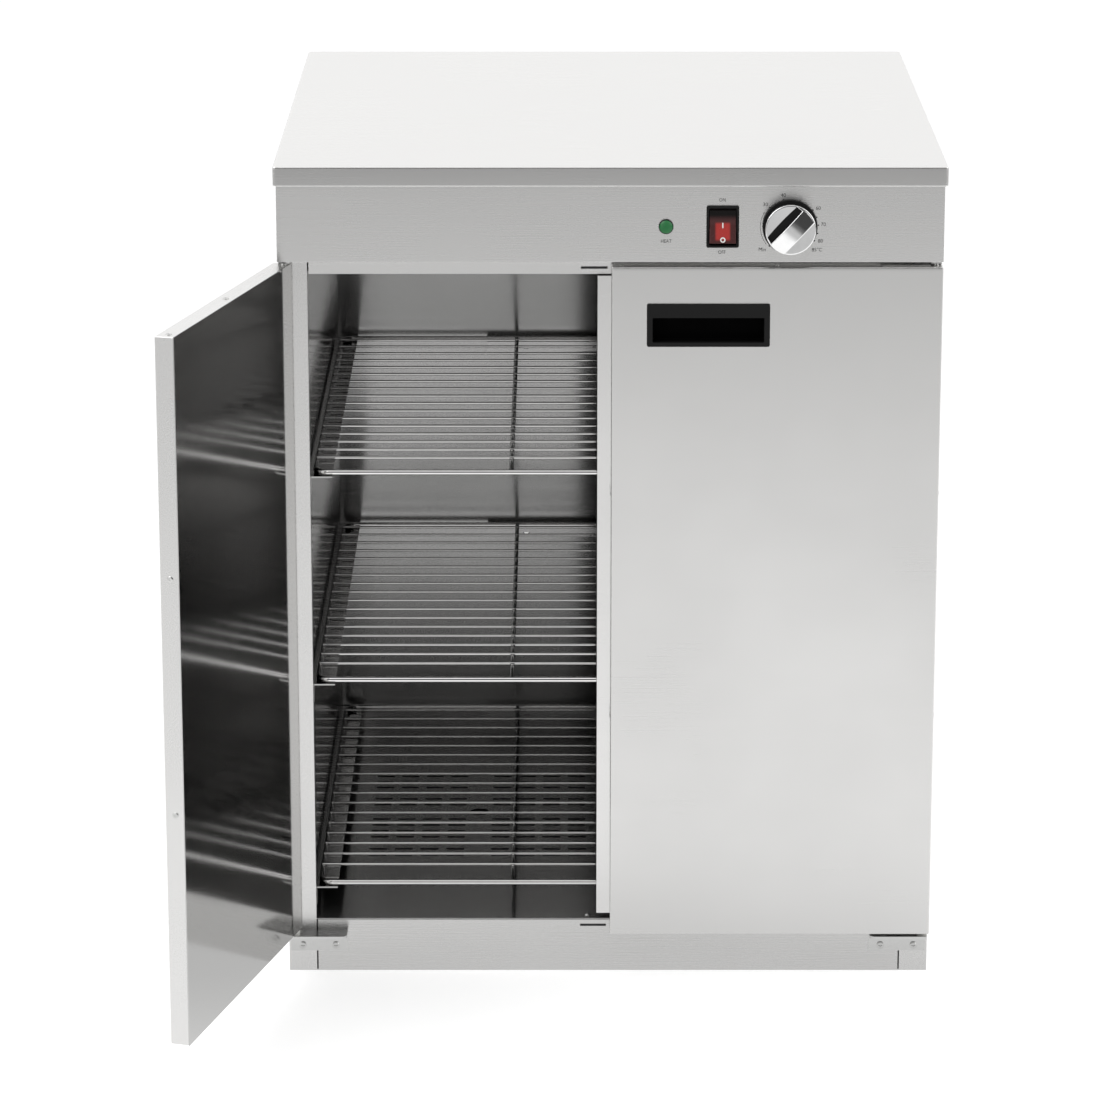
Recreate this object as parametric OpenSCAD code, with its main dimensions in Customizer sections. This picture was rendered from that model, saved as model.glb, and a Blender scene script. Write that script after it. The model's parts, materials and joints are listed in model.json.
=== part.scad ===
// Plate warmer cabinet: a heated sheet-steel cupboard with a worktop lid, two overlay doors,
// three wire shelves and a control fascia. Millimetres, +Z up, the front faces -Y and the
// origin is the centre of the footprint on the ground.

/* [Cabinet] */
// Width over the worktop lid
lid_w = 702; // [580:1:860]
// Depth over the worktop lid
lid_d = 700; // [580:1:860]
// Height from the ground to the worktop
total_h = 900; // [740:1:1100]
// Height of the lid's turned-down edge
lid_edge_h = 21; // [15:0.5:35]
// How far the lid stands out past the body on each side
lid_overhang = 3; // [2:0.5:8]
// Thickness of the outer sheet
sheet = 1.2; // [0.8:0.1:1.6]
// Width of each front post
post_w = 30; // [26:1:40]
// Height of the chamber floor above the ground
floor_h = 60; // [54:1:90]
// Height of the control fascia below the lid's edge
fascia_h = 81; // [76:1:120]
// Distance from the fascia's face back to the front frame
fascia_depth = 25; // [24.5:0.5:40]
// Height of the top rail that shows below the fascia
rail_h = 18; // [16:1:30]
// Gap between the rear chamber wall and the back panel
rear_gap = 22; // [20:1:50]

/* [Doors] */
// Thickness of a door
door_t = 20.5; // [18:0.5:22]
// Angle at which the left door stands open
door_open = 106; // [95:1:112]
// Angle at which either door meets its stop
door_stop = 115; // [112:1:116]
// Gap between the two closed doors
door_mid_gap = 3; // [3:0.5:6]
// Gap between the fascia and the doors
door_top_gap = 5.5; // [5:0.5:8]
// How far the doors reach below the chamber floor
door_drop = 9; // [6:0.5:11]
// Distance of a 6 mm hinge pin's axis from the door's outer edge
hinge_inset = 6.5; // [6.5:0.5:8.5]
// Diameter of the hinge pins
pin_d = 6; // [6:0.5:8]
// Width of the astragal beyond the right door's free edge
astragal_over = 14.5; // [10:0.5:20]

/* [Pull cups] */
// Width of a pull cup's bezel
cup_w = 129; // [100:1:160]
// Height of a pull cup's bezel
cup_h = 46; // [40:1:60]
// Height of the upper lip that the fingers hook behind
cup_lip = 15; // [10:1:18]
// Distance from the door's free edge to the bezel
cup_inset = 37; // [28:1:80]
// Distance from the door's top edge to the bezel
cup_drop = 39; // [30:1:80]

/* [Shelves] */
// Height of the lower shelf above the ground
shelf_low = 95; // [90:1:120]
// Height from one shelf to the next
shelf_step = 232; // [150:1:250]
// Clearance from a shelf's rear rod to the rear wall
shelf_back_gap = 15.5; // [8:0.5:30]
// Diameter of a shelf's frame rod
rod_d = 6; // [5:0.5:8]
// Diameter of a shelf's cross wires
wire_d = 3; // [2:0.5:4]
// Number of cross wires
wire_count = 17; // [11:1:21]
// Width of the side runners
runner_w = 24; // [18:1:30]

/* [Controls] */
// Distance of the thermostat knob from the centre line
knob_x = 187; // [175:1:215]
// Diameter of the thermostat knob
knob_d = 55; // [45:1:58]
// Distance of the rocker switch from the centre line
switch_x = 117; // [105:1:125]
// Width of the switch bezel
switch_w = 34; // [32:1:38]
// Height of the switch bezel
switch_h = 44.6; // [42:0.2:48]
// Distance of the pilot lamp from the centre line
lamp_x = 58; // [30:1:70]
// Diameter of the pilot lamp's bezel
lamp_d = 15.6; // [13:0.2:20]
// Height of the controls above the fascia's lower edge
control_rise = 38; // [38:1:48]

/* [Floor slots] */
// Length of one air slot in the floor
slot_l = 21; // [14:0.2:24]
// Width of one air slot in the floor
slot_w = 5.6; // [4:0.2:8]
// Distance between slots across the cabinet
slot_pitch_x = 29.2; // [26:0.2:34]
// Distance between rows of slots
slot_pitch_y = 20.2; // [12:0.2:22]
// Diameter of the round hole in each group of slots
vent_d = 23; // [16:1:28]

/* [Hidden] */
$fn = 48;

// Planes and spans of the body
half_w = lid_w / 2 - lid_overhang;
front_y = -lid_d / 2 + lid_overhang;
back_y = lid_d / 2 - lid_overhang;
frame_y = front_y + fascia_depth;
under_lid_z = total_h - sheet;
lid_edge_z = total_h - lid_edge_h;
fascia_z = lid_edge_z - fascia_h;
opening_top = fascia_z - rail_h;
opening_x = half_w - post_w;
rail_x = opening_x - 1.5;
rail_tuck = 14;

// Chamber
liner = 1;
wall_x = opening_x + sheet;
wall_front_y = frame_y + 4;
wall_back_y = back_y - rear_gap;
roof_z = opening_top + sheet;
lip_d = 22;
post_lip = 13;
pan_side_h = floor_h - sheet;

// Folded flanges
flange = 20;
hem = 1.8;

// Doors, described closed on the right-hand side
door_x0 = door_mid_gap / 2;
door_x1 = half_w;
door_w = door_x1 - door_x0;
door_z0 = floor_h - door_drop;
door_z1 = fascia_z - door_top_gap;
door_h = door_z1 - door_z0;
door_back_y = front_y + door_t;
skin = 1;
door_flange = 12;
screw_inset = 11;
pin_extra = (pin_d - 6) / 2;
hinge_x = half_w - hinge_inset - pin_extra;
hinge_y = door_back_y - 1.6 * (half_w - hinge_x) + 4.4;

// Hinges
bracket_w = 62;
bracket_d = 24;
upper_bracket_d = 8.5;
pin_tab = 4.5;
bracket_t = 3;
bracket_drop = 24;
bracket_gap = 3;
bracket_top = door_z0 - bracket_gap;
upper_bracket_z = door_z1 + 1.8;
bracket_screw_span = 36;
bracket_screw_inset = 15;
bracket_screw_drop = 17.5;
bracket_screw_rise = 10.5;
bracket_round = 6;
pin_fit = 0.05;
pin_l = 18;
washer_h = 2.7;
bush_l = 12;
bush_wall = 1.2;
seat_gap = 0.05;

// Fasteners
screw_r = 1.9;
screw_clear = 0.1;
head_r = 4;
head_h = 2;
flush_head_h = 1;
recess_w = 0.8;

// Pull cups
cup_depth = door_t - 3.5;
cup_wall = 1.8;
cup_side = 6;
cup_rim = 4.5;
bezel_t = 2;
cup_x0 = door_x0 + cup_inset;
cup_z1 = door_z1 - cup_drop;
cup_z0 = cup_z1 - cup_h;

// Shelves
shelf_half_w = wall_x - 6;
shelf_front_y = frame_y + 19.5;
shelf_d = wall_back_y - shelf_back_gap - shelf_front_y;
shelf_corner = 14;
support_d = 5;
weld = 0.5;
front_gap_share = 1.35;
rear_gap_share = 0.72;
runner_gap = 0.3;
runner_front_y = frame_y + 14;
runner_t = 1.5;
rest_w = 280;
shelf_levels = [shelf_low, shelf_low + shelf_step, shelf_low + 2 * shelf_step];

// Controls
control_z = fascia_z + control_rise;
control_gap = 0.3;
skirt_gap = 1;
skirt_h = 13;
cap_h = 3;
grip_h = 12;
grip_w = 27;
grip_top_w = 17;
grip_angle = 47;
spindle_r = 3;
spindle_hole_r = 4.5;
therm_w = 42;
therm_d = 22;
switch_bezel_t = 2.2;
switch_body_d = 30;
switch_rim = 1.6;
switch_wall = 1.3;
switch_body_w = switch_w - 2 * switch_rim;
switch_body_h = switch_h - 2 * switch_rim;
rocker_tilt = 9;
rocker_pivot_r = 1.5;
rocker_y = front_y + 3;
lamp_body_d = 12;
lamp_rim = 0.9;

// Catches
catch_l = 28;
catch_h = 10;
catch_d = 7;
catch_slot_h = 2.6;
catch_x = catch_l / 2 + 2.5;
catch_low_z = floor_h - sheet - 6.1;
catch_high_z = roof_z + liner + 4.6;

// Floor slots and vents
slot_cols_each_side = 4;
slot_rows_behind = 6;
slot_rows_before = 7;
slot_mid_x = slot_pitch_x * 0.873;
slot_mid_y = slot_pitch_y * 1.24;
slot_group_x = wall_x * 0.458;
slot_group_y = -lid_d / 2 + 375.4;
back_vent_w = 40;
back_vent_h = 4;
back_vent_pitch = 12;

// Heating and wiring
element_d = 8.5;
element_bend = 24;
element_z = 34;
element_run = 300;
element_x = slot_group_x;
tray_z = 16;
conduit_d = 16;
conduit_wall = 1.5;
conduit_x = half_w - sheet - conduit_d / 2 - 0.3;
conduit_y = wall_back_y - 22;
gland_x = half_w - 90;
gland_z = 32;
gland_bore_r = 4.5;
gland_thread_r = 8;
gland_hex_r = 11;
bulb_d = 6;
bulb_l = 95;
bulb_z = roof_z - 12;
bulb_y = wall_back_y - 190;
capillary_d = 2;
capillary_bend = 10;
bulb_clip_side = 9;
insulation_clear = 0.5;

// ---------- helpers ----------

// A box given by its low and high corners
module box(lo, hi) {
    translate(lo) cube(hi - lo);
}

// A copy of the children on the mirrored side, or both sides
module left_too() {
    children();
    mirror([1, 0, 0]) children();
}

// A cylinder along Y from y0 to y1
module rod_y(r, x, z, y0, y1) {
    translate([x, y1, z]) rotate([90, 0, 0]) cylinder(r = r, h = y1 - y0);
}

// A cylinder along X from x0 to x1
module rod_x(r, x0, x1, y, z) {
    translate([x0, y, z]) rotate([0, 90, 0]) cylinder(r = r, h = x1 - x0);
}

// A cylinder along Z from z0 to z1
module rod_z(r, x, y, z0, z1) {
    translate([x, y, z0]) cylinder(r = r, h = z1 - z0);
}

// A pan-head screw with a cross recess: head above z = 0, shank below it
module screw(shank_l, r = head_r, h = head_h) {
    difference() {
        union() {
            cylinder(r = r, h = h / 2);
            translate([0, 0, h / 2]) cylinder(r1 = r, r2 = r * 0.7, h = h / 2);
            translate([0, 0, -shank_l]) cylinder(r = screw_r, h = shank_l);
        }
        for (turn = [0, 90])
            rotate([0, 0, turn])
                translate([-r * 0.5, -recess_w / 2, h * 0.4])
                    cube([r, recess_w, h]);
    }
}

// Hole for a screw's shank
module screw_hole(depth) {
    translate([0, 0, -depth]) cylinder(r = screw_r + screw_clear, h = 2 * depth);
}

// A closed door's piece on the left side, swung open about its hinge
module on_left_door() {
    translate([-hinge_x, hinge_y, 0])
        rotate([0, 0, -door_open])
            translate([hinge_x, -hinge_y, 0])
                mirror([1, 0, 0]) children();
}

// Turns a screw that points along +Z so that its head faces the front
module facing_front() {
    rotate([90, 0, 0]) children();
}

// Turns it so that its head faces the back
module facing_back() {
    rotate([-90, 0, 0]) children();
}

// ---------- body shell ----------

// Element well: floor of the cabinet with three upturned sides
module base_pan() {
    color("lightgray")
        difference() {
            union() {
                box([-wall_x - liner, frame_y + sheet, 0], [wall_x + liner, back_y - sheet, sheet]);
                left_too()
                    box([wall_x, frame_y + lip_d, 0], [wall_x + liner, wall_back_y + sheet, pan_side_h]);
                box([-wall_x, wall_back_y, 0], [wall_x, wall_back_y + sheet, pan_side_h]);
            }
            rod_y(gland_thread_r + 1, gland_x, gland_z, wall_back_y - 1, wall_back_y + sheet + 1);
            rod_x(conduit_d / 2 - 1, wall_x - 1, wall_x + liner + 1, conduit_y, gland_z);
        }
}

// Outer side sheet folded into the front post, the rear flange and the bottom flange
module side_panel() {
    color("silver")
        difference() {
            union() {
                box([half_w - sheet, frame_y, 0], [half_w, back_y - sheet, under_lid_z]);
                box([opening_x, frame_y, 0], [half_w, frame_y + sheet, under_lid_z]);
                box([opening_x, frame_y, floor_h], [wall_x, frame_y + post_lip, opening_top + sheet]);
                box([half_w - flange, back_y - 2 * sheet, 0], [half_w, back_y - sheet, under_lid_z]);
                box([wall_x + liner, frame_y, 0], [half_w, back_y - sheet, sheet]);
                box([half_w - flange, frame_y, under_lid_z - sheet], [half_w, back_y - sheet, under_lid_z]);
            }
            hinge_screw_places() screw_hole(6);
            for (z = back_screw_levels())
                translate([half_w - flange / 2, back_y, z]) facing_back() screw_hole(6);
        }
}

// Plinth with its lip under the chamber floor and two catch slots
module plinth_rail() {
    color("silver")
        difference() {
            union() {
                box([-rail_x, frame_y, 0], [rail_x, frame_y + sheet, pan_side_h]);
                box([-rail_x, frame_y, pan_side_h - sheet], [rail_x, frame_y + lip_d, pan_side_h]);
            }
            left_too() catch_slot(catch_low_z);
            left_too() hinge_screw_places() screw_hole(6);
            left_too() floor_screw_place() screw_hole(6);
        }
}

// Rail above the opening, with the lip that carries the roof and two catch slots
module top_rail() {
    color("silver")
        difference() {
            union() {
                box([-rail_x, frame_y, opening_top], [rail_x, frame_y + sheet, fascia_z + rail_tuck]);
                box([-rail_x, frame_y, opening_top], [rail_x, frame_y + lip_d, opening_top + sheet]);
            }
            left_too() catch_slot(catch_high_z);
            left_too() hinge_screw_places() screw_hole(6);
        }
}

// Slot in a rail for the catch's pole plate
module catch_slot(z) {
    box([catch_x - catch_l / 2, frame_y - 1, z - catch_slot_h / 2],
        [catch_x + catch_l / 2, frame_y + sheet + 1, z + catch_slot_h / 2]);
}

// Lid: top sheet, turned-down edge and the hem turned in along its foot
module top_lid() {
    outer_x = lid_w / 2;
    outer_y = lid_d / 2;
    color("whitesmoke")
        difference() {
            box([-outer_x, -outer_y, lid_edge_z], [outer_x, outer_y, total_h]);
            box([-outer_x + sheet, -outer_y + sheet, lid_edge_z + sheet],
                [outer_x - sheet, outer_y - sheet, under_lid_z]);
            box([-outer_x + hem, -outer_y + hem, lid_edge_z - 1],
                [outer_x - hem, outer_y - hem, lid_edge_z + 2 * sheet]);
        }
}

// Two hat channels under the lid
module lid_stiffeners() {
    hat_w = 60;
    hat_h = 24;
    foot_w = 12;
    end_x = half_w - flange - 1;
    color("lightgray")
        for (y = [-lid_d / 5, lid_d / 5])
            difference() {
                union() {
                    box([-end_x, y - hat_w / 2, under_lid_z - hat_h], [end_x, y + hat_w / 2, under_lid_z]);
                    box([-end_x, y - hat_w / 2 - foot_w, under_lid_z - sheet],
                        [end_x, y + hat_w / 2 + foot_w, under_lid_z]);
                }
                box([-end_x - 1, y - hat_w / 2 + sheet, under_lid_z - hat_h + sheet],
                    [end_x + 1, y + hat_w / 2 - sheet, under_lid_z + 1]);
            }
}

// Control fascia: face, two side returns and the lower return
module control_fascia() {
    notch_x = half_w - bracket_w - 3;
    cut_w = switch_body_w / 2 + control_gap;
    cut_h = switch_body_h / 2 + control_gap;
    color("silver")
        difference() {
            box([-half_w, front_y, fascia_z], [half_w, frame_y, under_lid_z]);
            box([-half_w + sheet, front_y + sheet, fascia_z + sheet],
                [half_w - sheet, frame_y + 1, under_lid_z + 1]);
            left_too()
                box([notch_x, frame_y - bracket_t - 1, fascia_z - 1],
                    [half_w - sheet, frame_y + 1, fascia_z + sheet + 1]);
            rod_y(spindle_hole_r, knob_x, control_z, front_y - 1, front_y + sheet + 1);
            rod_y(lamp_body_d / 2 + control_gap, lamp_x, control_z, front_y - 1, front_y + sheet + 1);
            box([switch_x - cut_w, front_y - 1, control_z - cut_h],
                [switch_x + cut_w, front_y + sheet + 1, control_z + cut_h]);
        }
}

// Heights of the screws down each edge of the back panel
function back_screw_levels() =
    [for (i = [0 : 5]) 40 + i * (under_lid_z - 90) / 5];

// Back panel with the gland hole and rows of vent slots for the control space
module back_panel() {
    color("lightgray")
        difference() {
            box([-half_w, back_y - sheet, 0], [half_w, back_y, under_lid_z - 1]);
            rod_y(gland_thread_r, gland_x, gland_z, back_y - sheet - 1, back_y + 1);
            for (col = [-2 : 2], row = [0 : 2])
                box([col * 1.5 * back_vent_w - back_vent_w / 2, back_y - sheet - 1,
                     lid_edge_z - 20 - row * back_vent_pitch],
                    [col * 1.5 * back_vent_w + back_vent_w / 2, back_y + 1,
                     lid_edge_z - 20 - row * back_vent_pitch + back_vent_h]);
            left_too()
                for (z = back_screw_levels())
                    translate([half_w - flange / 2, back_y, z]) facing_back() screw_hole(6);
        }
}

module back_panel_screws() {
    color("gray")
        left_too()
            for (z = back_screw_levels())
                translate([half_w - flange / 2, back_y, z]) facing_back() screw(6, head_r, 1.6);
}

// ---------- chamber ----------

// Side wall of the chamber, standing on the floor sheet
module chamber_wall() {
    color("darkgray")
        difference() {
            box([wall_x, wall_front_y, floor_h], [wall_x + liner, wall_back_y, roof_z]);
            for (level = shelf_levels, y = runner_screw_spots())
                translate([wall_x, y, runner_screw_z(level)]) rotate([0, -90, 0]) screw_hole(6);
        }
}

module rear_chamber_wall() {
    color("darkgray")
        difference() {
            box([-wall_x - liner, wall_back_y, floor_h], [wall_x + liner, wall_back_y + liner, roof_z]);
            for (level = shelf_levels)
                left_too()
                    translate([rest_w / 3, wall_back_y, rest_screw_z(level)]) facing_front() screw_hole(6);
        }
}

// Roof sheet, resting on the walls and on the top rail's lip
module chamber_roof() {
    color("darkgray")
        difference() {
            box([-wall_x - liner, wall_front_y, roof_z],
                [wall_x + liner, wall_back_y + liner, roof_z + liner]);
            rod_z(capillary_d / 2 + 1, knob_x, bulb_y - capillary_bend - 10, roof_z - 1, roof_z + liner + 1);
            bulb_clip_places()
                translate([bulb_clip_side, 0, 0]) rod_z(1.6, 0, 0, -1, liner + 1);
        }
}

// One round-ended air slot, as an outline
module slot_outline() {
    straight = slot_l - slot_w;
    square([straight, slot_w], center = true);
    for (side = [-1, 1])
        translate([side * straight / 2, 0]) circle(d = slot_w, $fn = 24);
}

// Places of the slots in one group, with the middle left clear for the round hole
function slot_places() = [
    for (col = [0 : slot_cols_each_side - 1], side = [-1, 1],
         row = [-slot_rows_before : slot_rows_behind - 1])
        [side * (slot_mid_x + col * slot_pitch_x),
         row < 0 ? -slot_mid_y + (row + 1) * slot_pitch_y : slot_mid_y + row * slot_pitch_y]
];

module perforated_floor() {
    color("dimgray")
        translate([0, 0, floor_h - sheet])
            linear_extrude(height = sheet)
                difference() {
                    translate([-wall_x - liner, frame_y + sheet])
                        square([2 * (wall_x + liner), wall_back_y - frame_y]);
                    left_too()
                        translate([slot_group_x, slot_group_y]) {
                            circle(d = vent_d);
                            for (place = slot_places())
                                translate(place) slot_outline();
                        }
                    left_too()
                        translate([catch_x + 6.5, frame_y + screw_inset]) circle(r = screw_r + screw_clear);
                }
}

module floor_screw_place() {
    translate([catch_x + 6.5, frame_y + screw_inset, floor_h]) children();
}

// Floor screws, runner screws and rear rest screws
module chamber_screws() {
    color("silver") {
        left_too() floor_screw_place() screw(4.5);
        left_too()
            for (level = shelf_levels, y = runner_screw_spots())
                translate([wall_x - runner_t, y, runner_screw_z(level)])
                    rotate([0, -90, 0]) screw(4.5, head_r, 1.8);
        left_too()
            for (level = shelf_levels)
                translate([rest_w / 3, wall_back_y - runner_t, rest_screw_z(level)])
                    facing_front() screw(4.5, head_r, 1.8);
    }
}

// Mineral-wool slabs behind the walls and over the roof
module chamber_insulation() {
    c = insulation_clear;
    side_out = half_w - sheet - c;
    color("khaki") {
        left_too()
            difference() {
                box([wall_x + liner + c + 6, frame_y + sheet + c, sheet + c],
                    [side_out, wall_back_y - 2 * conduit_d - 6, opening_top]);
                hinge_screw_places() screw_hole(12);
            }
        difference() {
            box([-wall_x + 10, wall_back_y + liner + c, floor_h],
                [wall_x - 10, back_y - sheet - c, opening_top]);
            left_too()
                for (level = shelf_levels)
                    translate([rest_w / 3, wall_back_y, rest_screw_z(level)]) facing_front() screw_hole(8);
        }
        difference() {
            box([-wall_x, frame_y + lip_d + 4, roof_z + liner + c],
                [wall_x - 6, wall_back_y, roof_z + liner + c + 18]);
            rod_z(capillary_d / 2 + 2, knob_x, bulb_y - capillary_bend - 10, roof_z, roof_z + 40);
            bulb_clip_places()
                translate([bulb_clip_side, 0, 0]) rod_z(4, 0, 0, -1, 8);
        }
    }
}

module base_insulation() {
    color("khaki")
        box([-wall_x + 2, frame_y + lip_d + 4, sheet],
            [wall_x - 2, wall_back_y - 2, tray_z - insulation_clear]);
}

// Bright reflector tray under the elements
module element_tray() {
    tray_x = wall_x - 12;
    tray_y0 = frame_y + lip_d + 10;
    tray_y1 = wall_back_y - 50;
    color("gainsboro")
        difference() {
            box([-tray_x, tray_y0, tray_z - insulation_clear], [tray_x, tray_y1, tray_z + 8]);
            box([-tray_x + 1, tray_y0 + 1, tray_z], [tray_x - 1, tray_y1 - 1, tray_z + 9]);
        }
}

// Half a turn of element sheath in the XY plane, bulging towards the side given
module sheath_bend(side) {
    rotate([0, 0, side > 0 ? 0 : 180])
        rotate_extrude(angle = 180)
            translate([element_bend, 0]) circle(d = element_d);
}

// One sheathed element: four runs joined by three bends, with terminal studs at the rear
module heating_element() {
    $fn = 24;
    y0 = slot_group_y - element_run / 2;
    y1 = slot_group_y + element_run / 2;
    for (i = [0 : 3]) {
        x = element_x + (i - 1.5) * 2 * element_bend;
        last = (i == 0 || i == 3);
        rod_y(element_d / 2, x, element_z, y0, last ? y1 + 60 : y1);
        if (last) {
            rod_y(element_d / 2 + 2, x, element_z, y1 + 60, y1 + 72);
            rod_y(2, x, element_z, y1 + 72, y1 + 88);
        }
    }
    for (i = [0, 2])
        translate([element_x + (i - 1) * 2 * element_bend, y0, element_z]) sheath_bend(-1);
    translate([element_x, y1, element_z]) sheath_bend(1);
}

module heating_elements() {
    color("slategray") left_too() heating_element();
}

// Two saddles under each element
module element_brackets() {
    half = 3 * element_bend + element_d / 2 + 6;
    color("silver")
        left_too()
            for (y = [slot_group_y - element_run / 3, slot_group_y + element_run / 3])
                difference() {
                    box([element_x - half, y - 7, tray_z], [element_x + half, y + 7, element_z]);
                    box([element_x - half + 2, y - 8, tray_z + 1.5],
                        [element_x + half - 2, y + 8, element_z - element_d / 2 - 2]);
                    for (i = [0 : 3])
                        rod_y(element_d / 2 + seat_gap, element_x + (i - 1.5) * 2 * element_bend, element_z,
                              y - 8, y + 8);
                }
}

// Ceramic terminal block in the element well
module terminal_block() {
    ways = 5;
    way = 14;
    x0 = gland_x - 60 - ways * way;
    y1 = wall_back_y - 12;
    color("ivory")
        difference() {
            box([x0, y1 - 22, tray_z - insulation_clear], [x0 + ways * way, y1, tray_z + 16]);
            for (i = [0 : ways - 1]) {
                rod_y(2.5, x0 + (i + 0.5) * way, tray_z + 6, y1 - 23, y1 + 1);
                rod_z(2.4, x0 + (i + 0.5) * way, y1 - 6, tray_z + 6, tray_z + 17);
                rod_z(2.4, x0 + (i + 0.5) * way, y1 - 16, tray_z + 6, tray_z + 17);
            }
        }
}

// Supply gland: flanged body through the back panel, bored for the cord
module cable_gland() {
    color("black")
        difference() {
            union() {
                rod_y(gland_thread_r - 0.1, gland_x, gland_z, back_y - 12, back_y);
                rod_y(gland_hex_r, gland_x, gland_z, back_y, back_y + 4);
                translate([gland_x, back_y + 14, gland_z]) rotate([90, 0, 0])
                    cylinder(r = gland_hex_r, h = 10, $fn = 6);
                translate([gland_x, back_y + 20, gland_z]) rotate([90, 0, 0])
                    cylinder(r1 = gland_bore_r + 2, r2 = gland_hex_r - 2, h = 6);
            }
            rod_y(gland_bore_r, gland_x, gland_z, back_y - 13, back_y + 21);
        }
}

module gland_locknut() {
    color("black")
        difference() {
            translate([gland_x, back_y - sheet, gland_z]) rotate([90, 0, 0])
                cylinder(r = gland_hex_r + 2, h = 5, $fn = 6);
            rod_y(gland_thread_r, gland_x, gland_z, back_y - sheet - 6, back_y);
        }
}

// Steel tube that takes the wiring from the element well to the control space
module wiring_conduit() {
    color("lightgray")
        difference() {
            rod_z(conduit_d / 2, conduit_x, conduit_y, sheet, fascia_z + 30);
            rod_z(conduit_d / 2 - conduit_wall, conduit_x, conduit_y, sheet - 1, fascia_z + 31);
            rod_x(conduit_d / 2 - 3, conduit_x - conduit_d, conduit_x, conduit_y, gland_z);
        }
}

// ---------- shelf supports ----------

function runner_top(level) = level - rod_d / 2 - runner_gap;
function runner_screw_z(level) = runner_top(level) - 12;
function rest_screw_z(level) = runner_top(level) - 9;
function runner_screw_spots() =
    [for (share = [0.15, 0.85]) runner_front_y + share * (wall_back_y - runner_front_y)];

// One side's three angle runners
module shelf_runners() {
    color("gray")
        for (level = shelf_levels) {
            top = runner_top(level);
            difference() {
                union() {
                    box([wall_x - runner_w, runner_front_y, top - runner_t], [wall_x, wall_back_y - 2, top]);
                    box([wall_x - runner_t, runner_front_y, top - 20], [wall_x, wall_back_y - 2, top]);
                }
                for (y = runner_screw_spots())
                    translate([wall_x, y, runner_screw_z(level)]) rotate([0, -90, 0]) screw_hole(6);
            }
        }
}

// Three angle rests on the rear wall
module rear_shelf_rests() {
    rest_d = 18;
    color("dimgray")
        for (level = shelf_levels) {
            top = runner_top(level);
            difference() {
                union() {
                    box([-rest_w / 2, wall_back_y - rest_d, top - runner_t], [rest_w / 2, wall_back_y, top]);
                    box([-rest_w / 2, wall_back_y - runner_t, top - 16], [rest_w / 2, wall_back_y, top]);
                    box([-rest_w / 2, wall_back_y - rest_d, top - 5],
                        [rest_w / 2, wall_back_y - rest_d + runner_t, top]);
                }
                left_too()
                    translate([rest_w / 3, wall_back_y, rest_screw_z(level)]) facing_front() screw_hole(6);
            }
        }
}

// ---------- shelves ----------

// Quarter bend of the frame rod at the origin's corner, turning from -X to -Y
module rod_corner() {
    rotate_extrude(angle = 90)
        translate([shelf_corner, 0]) circle(d = rod_d);
}

// Y places of the cross wires: even pitch, a wider first gap and a narrower last one
function wire_pitch() = shelf_d / (wire_count - 1 + front_gap_share + rear_gap_share);
function wire_y(i) = shelf_front_y + (front_gap_share + i) * wire_pitch();

module wire_shelf(level) {
    x = shelf_half_w;
    y0 = shelf_front_y;
    y1 = shelf_front_y + shelf_d;
    c = shelf_corner;
    r = rod_d / 2;
    wire_z = r + wire_d / 2 - weld;
    color("lightsteelblue")
        translate([0, 0, level])
            union() {
                rod_x(r, -x + c, x - c, y0, 0);
                rod_x(r, -x + c, x - c, y1, 0);
                left_too() {
                    rod_y(r, x, 0, y0 + c, y1 - c);
                    translate([x - c, y1 - c, 0]) rod_corner();
                    translate([x - c, y0 + c, 0]) rotate([0, 0, -90]) rod_corner();
                    rod_y(support_d / 2, x / 3, wire_z - wire_d / 2 - support_d / 2 + weld, y0, y1);
                }
                for (i = [0 : wire_count - 1])
                    rod_x(wire_d / 2, -x - 1, x + 1, wire_y(i), wire_z);
            }
}

// ---------- hinges and catches ----------

// Places of the two screws of one side's lower and upper brackets
module hinge_screw_places() {
    for (z = [bracket_top - bracket_screw_drop, upper_bracket_z + bracket_screw_rise], i = [0, 1])
        translate([half_w - bracket_screw_inset - i * bracket_screw_span, frame_y - bracket_t, z])
            facing_front() children();
}

// One angle bracket: the plate of the depth given, with a tab round the pin, and the flange on the frame
module hinge_bracket(depth) {
    x0 = half_w - bracket_w - 2;
    x1 = half_w - 2;
    y0 = frame_y - depth;
    tab_x0 = hinge_x - pin_d / 2 - 2.5;
    r = min(bracket_round, depth / 2);
    union() {
        translate([0, 0, -bracket_t])
            difference() {
                linear_extrude(height = bracket_t) {
                    translate([x0, y0 + r]) square([x1 - x0, depth - r]);
                    translate([x0 + r, y0]) square([x1 - x0 - r, r]);
                    translate([x0 + r, y0 + r]) circle(r = r);
                    translate([tab_x0, hinge_y - pin_tab - pin_extra])
                        square([x1 - tab_x0, frame_y - hinge_y]);
                }
                rod_z(pin_d / 2, hinge_x, hinge_y, -1, bracket_t + 1);
            }
        box([x0, frame_y - bracket_t, -bracket_drop], [x1, frame_y, 0]);
    }
}

module hinge_brackets() {
    color("silver")
        left_too()
            difference() {
                union() {
                    translate([0, 0, bracket_top]) hinge_bracket(bracket_d);
                    translate([0, 0, upper_bracket_z]) mirror([0, 0, 1]) hinge_bracket(upper_bracket_d);
                }
                hinge_screw_places() screw_hole(6);
            }
}

module hinge_pins() {
    color("gray")
        left_too() {
            rod_z(pin_d / 2, hinge_x, hinge_y, bracket_top - bracket_t, bracket_top + pin_l);
            rod_z(pin_d / 2, hinge_x, hinge_y, upper_bracket_z - pin_l, upper_bracket_z + bracket_t);
        }
}

module hinge_washers() {
    color("white")
        left_too()
            difference() {
                rod_z(pin_d / 2 + 3, hinge_x, hinge_y, bracket_top, bracket_top + washer_h);
                rod_z(pin_d / 2, hinge_x, hinge_y, bracket_top - 1, bracket_top + washer_h + 1);
            }
}

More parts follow.
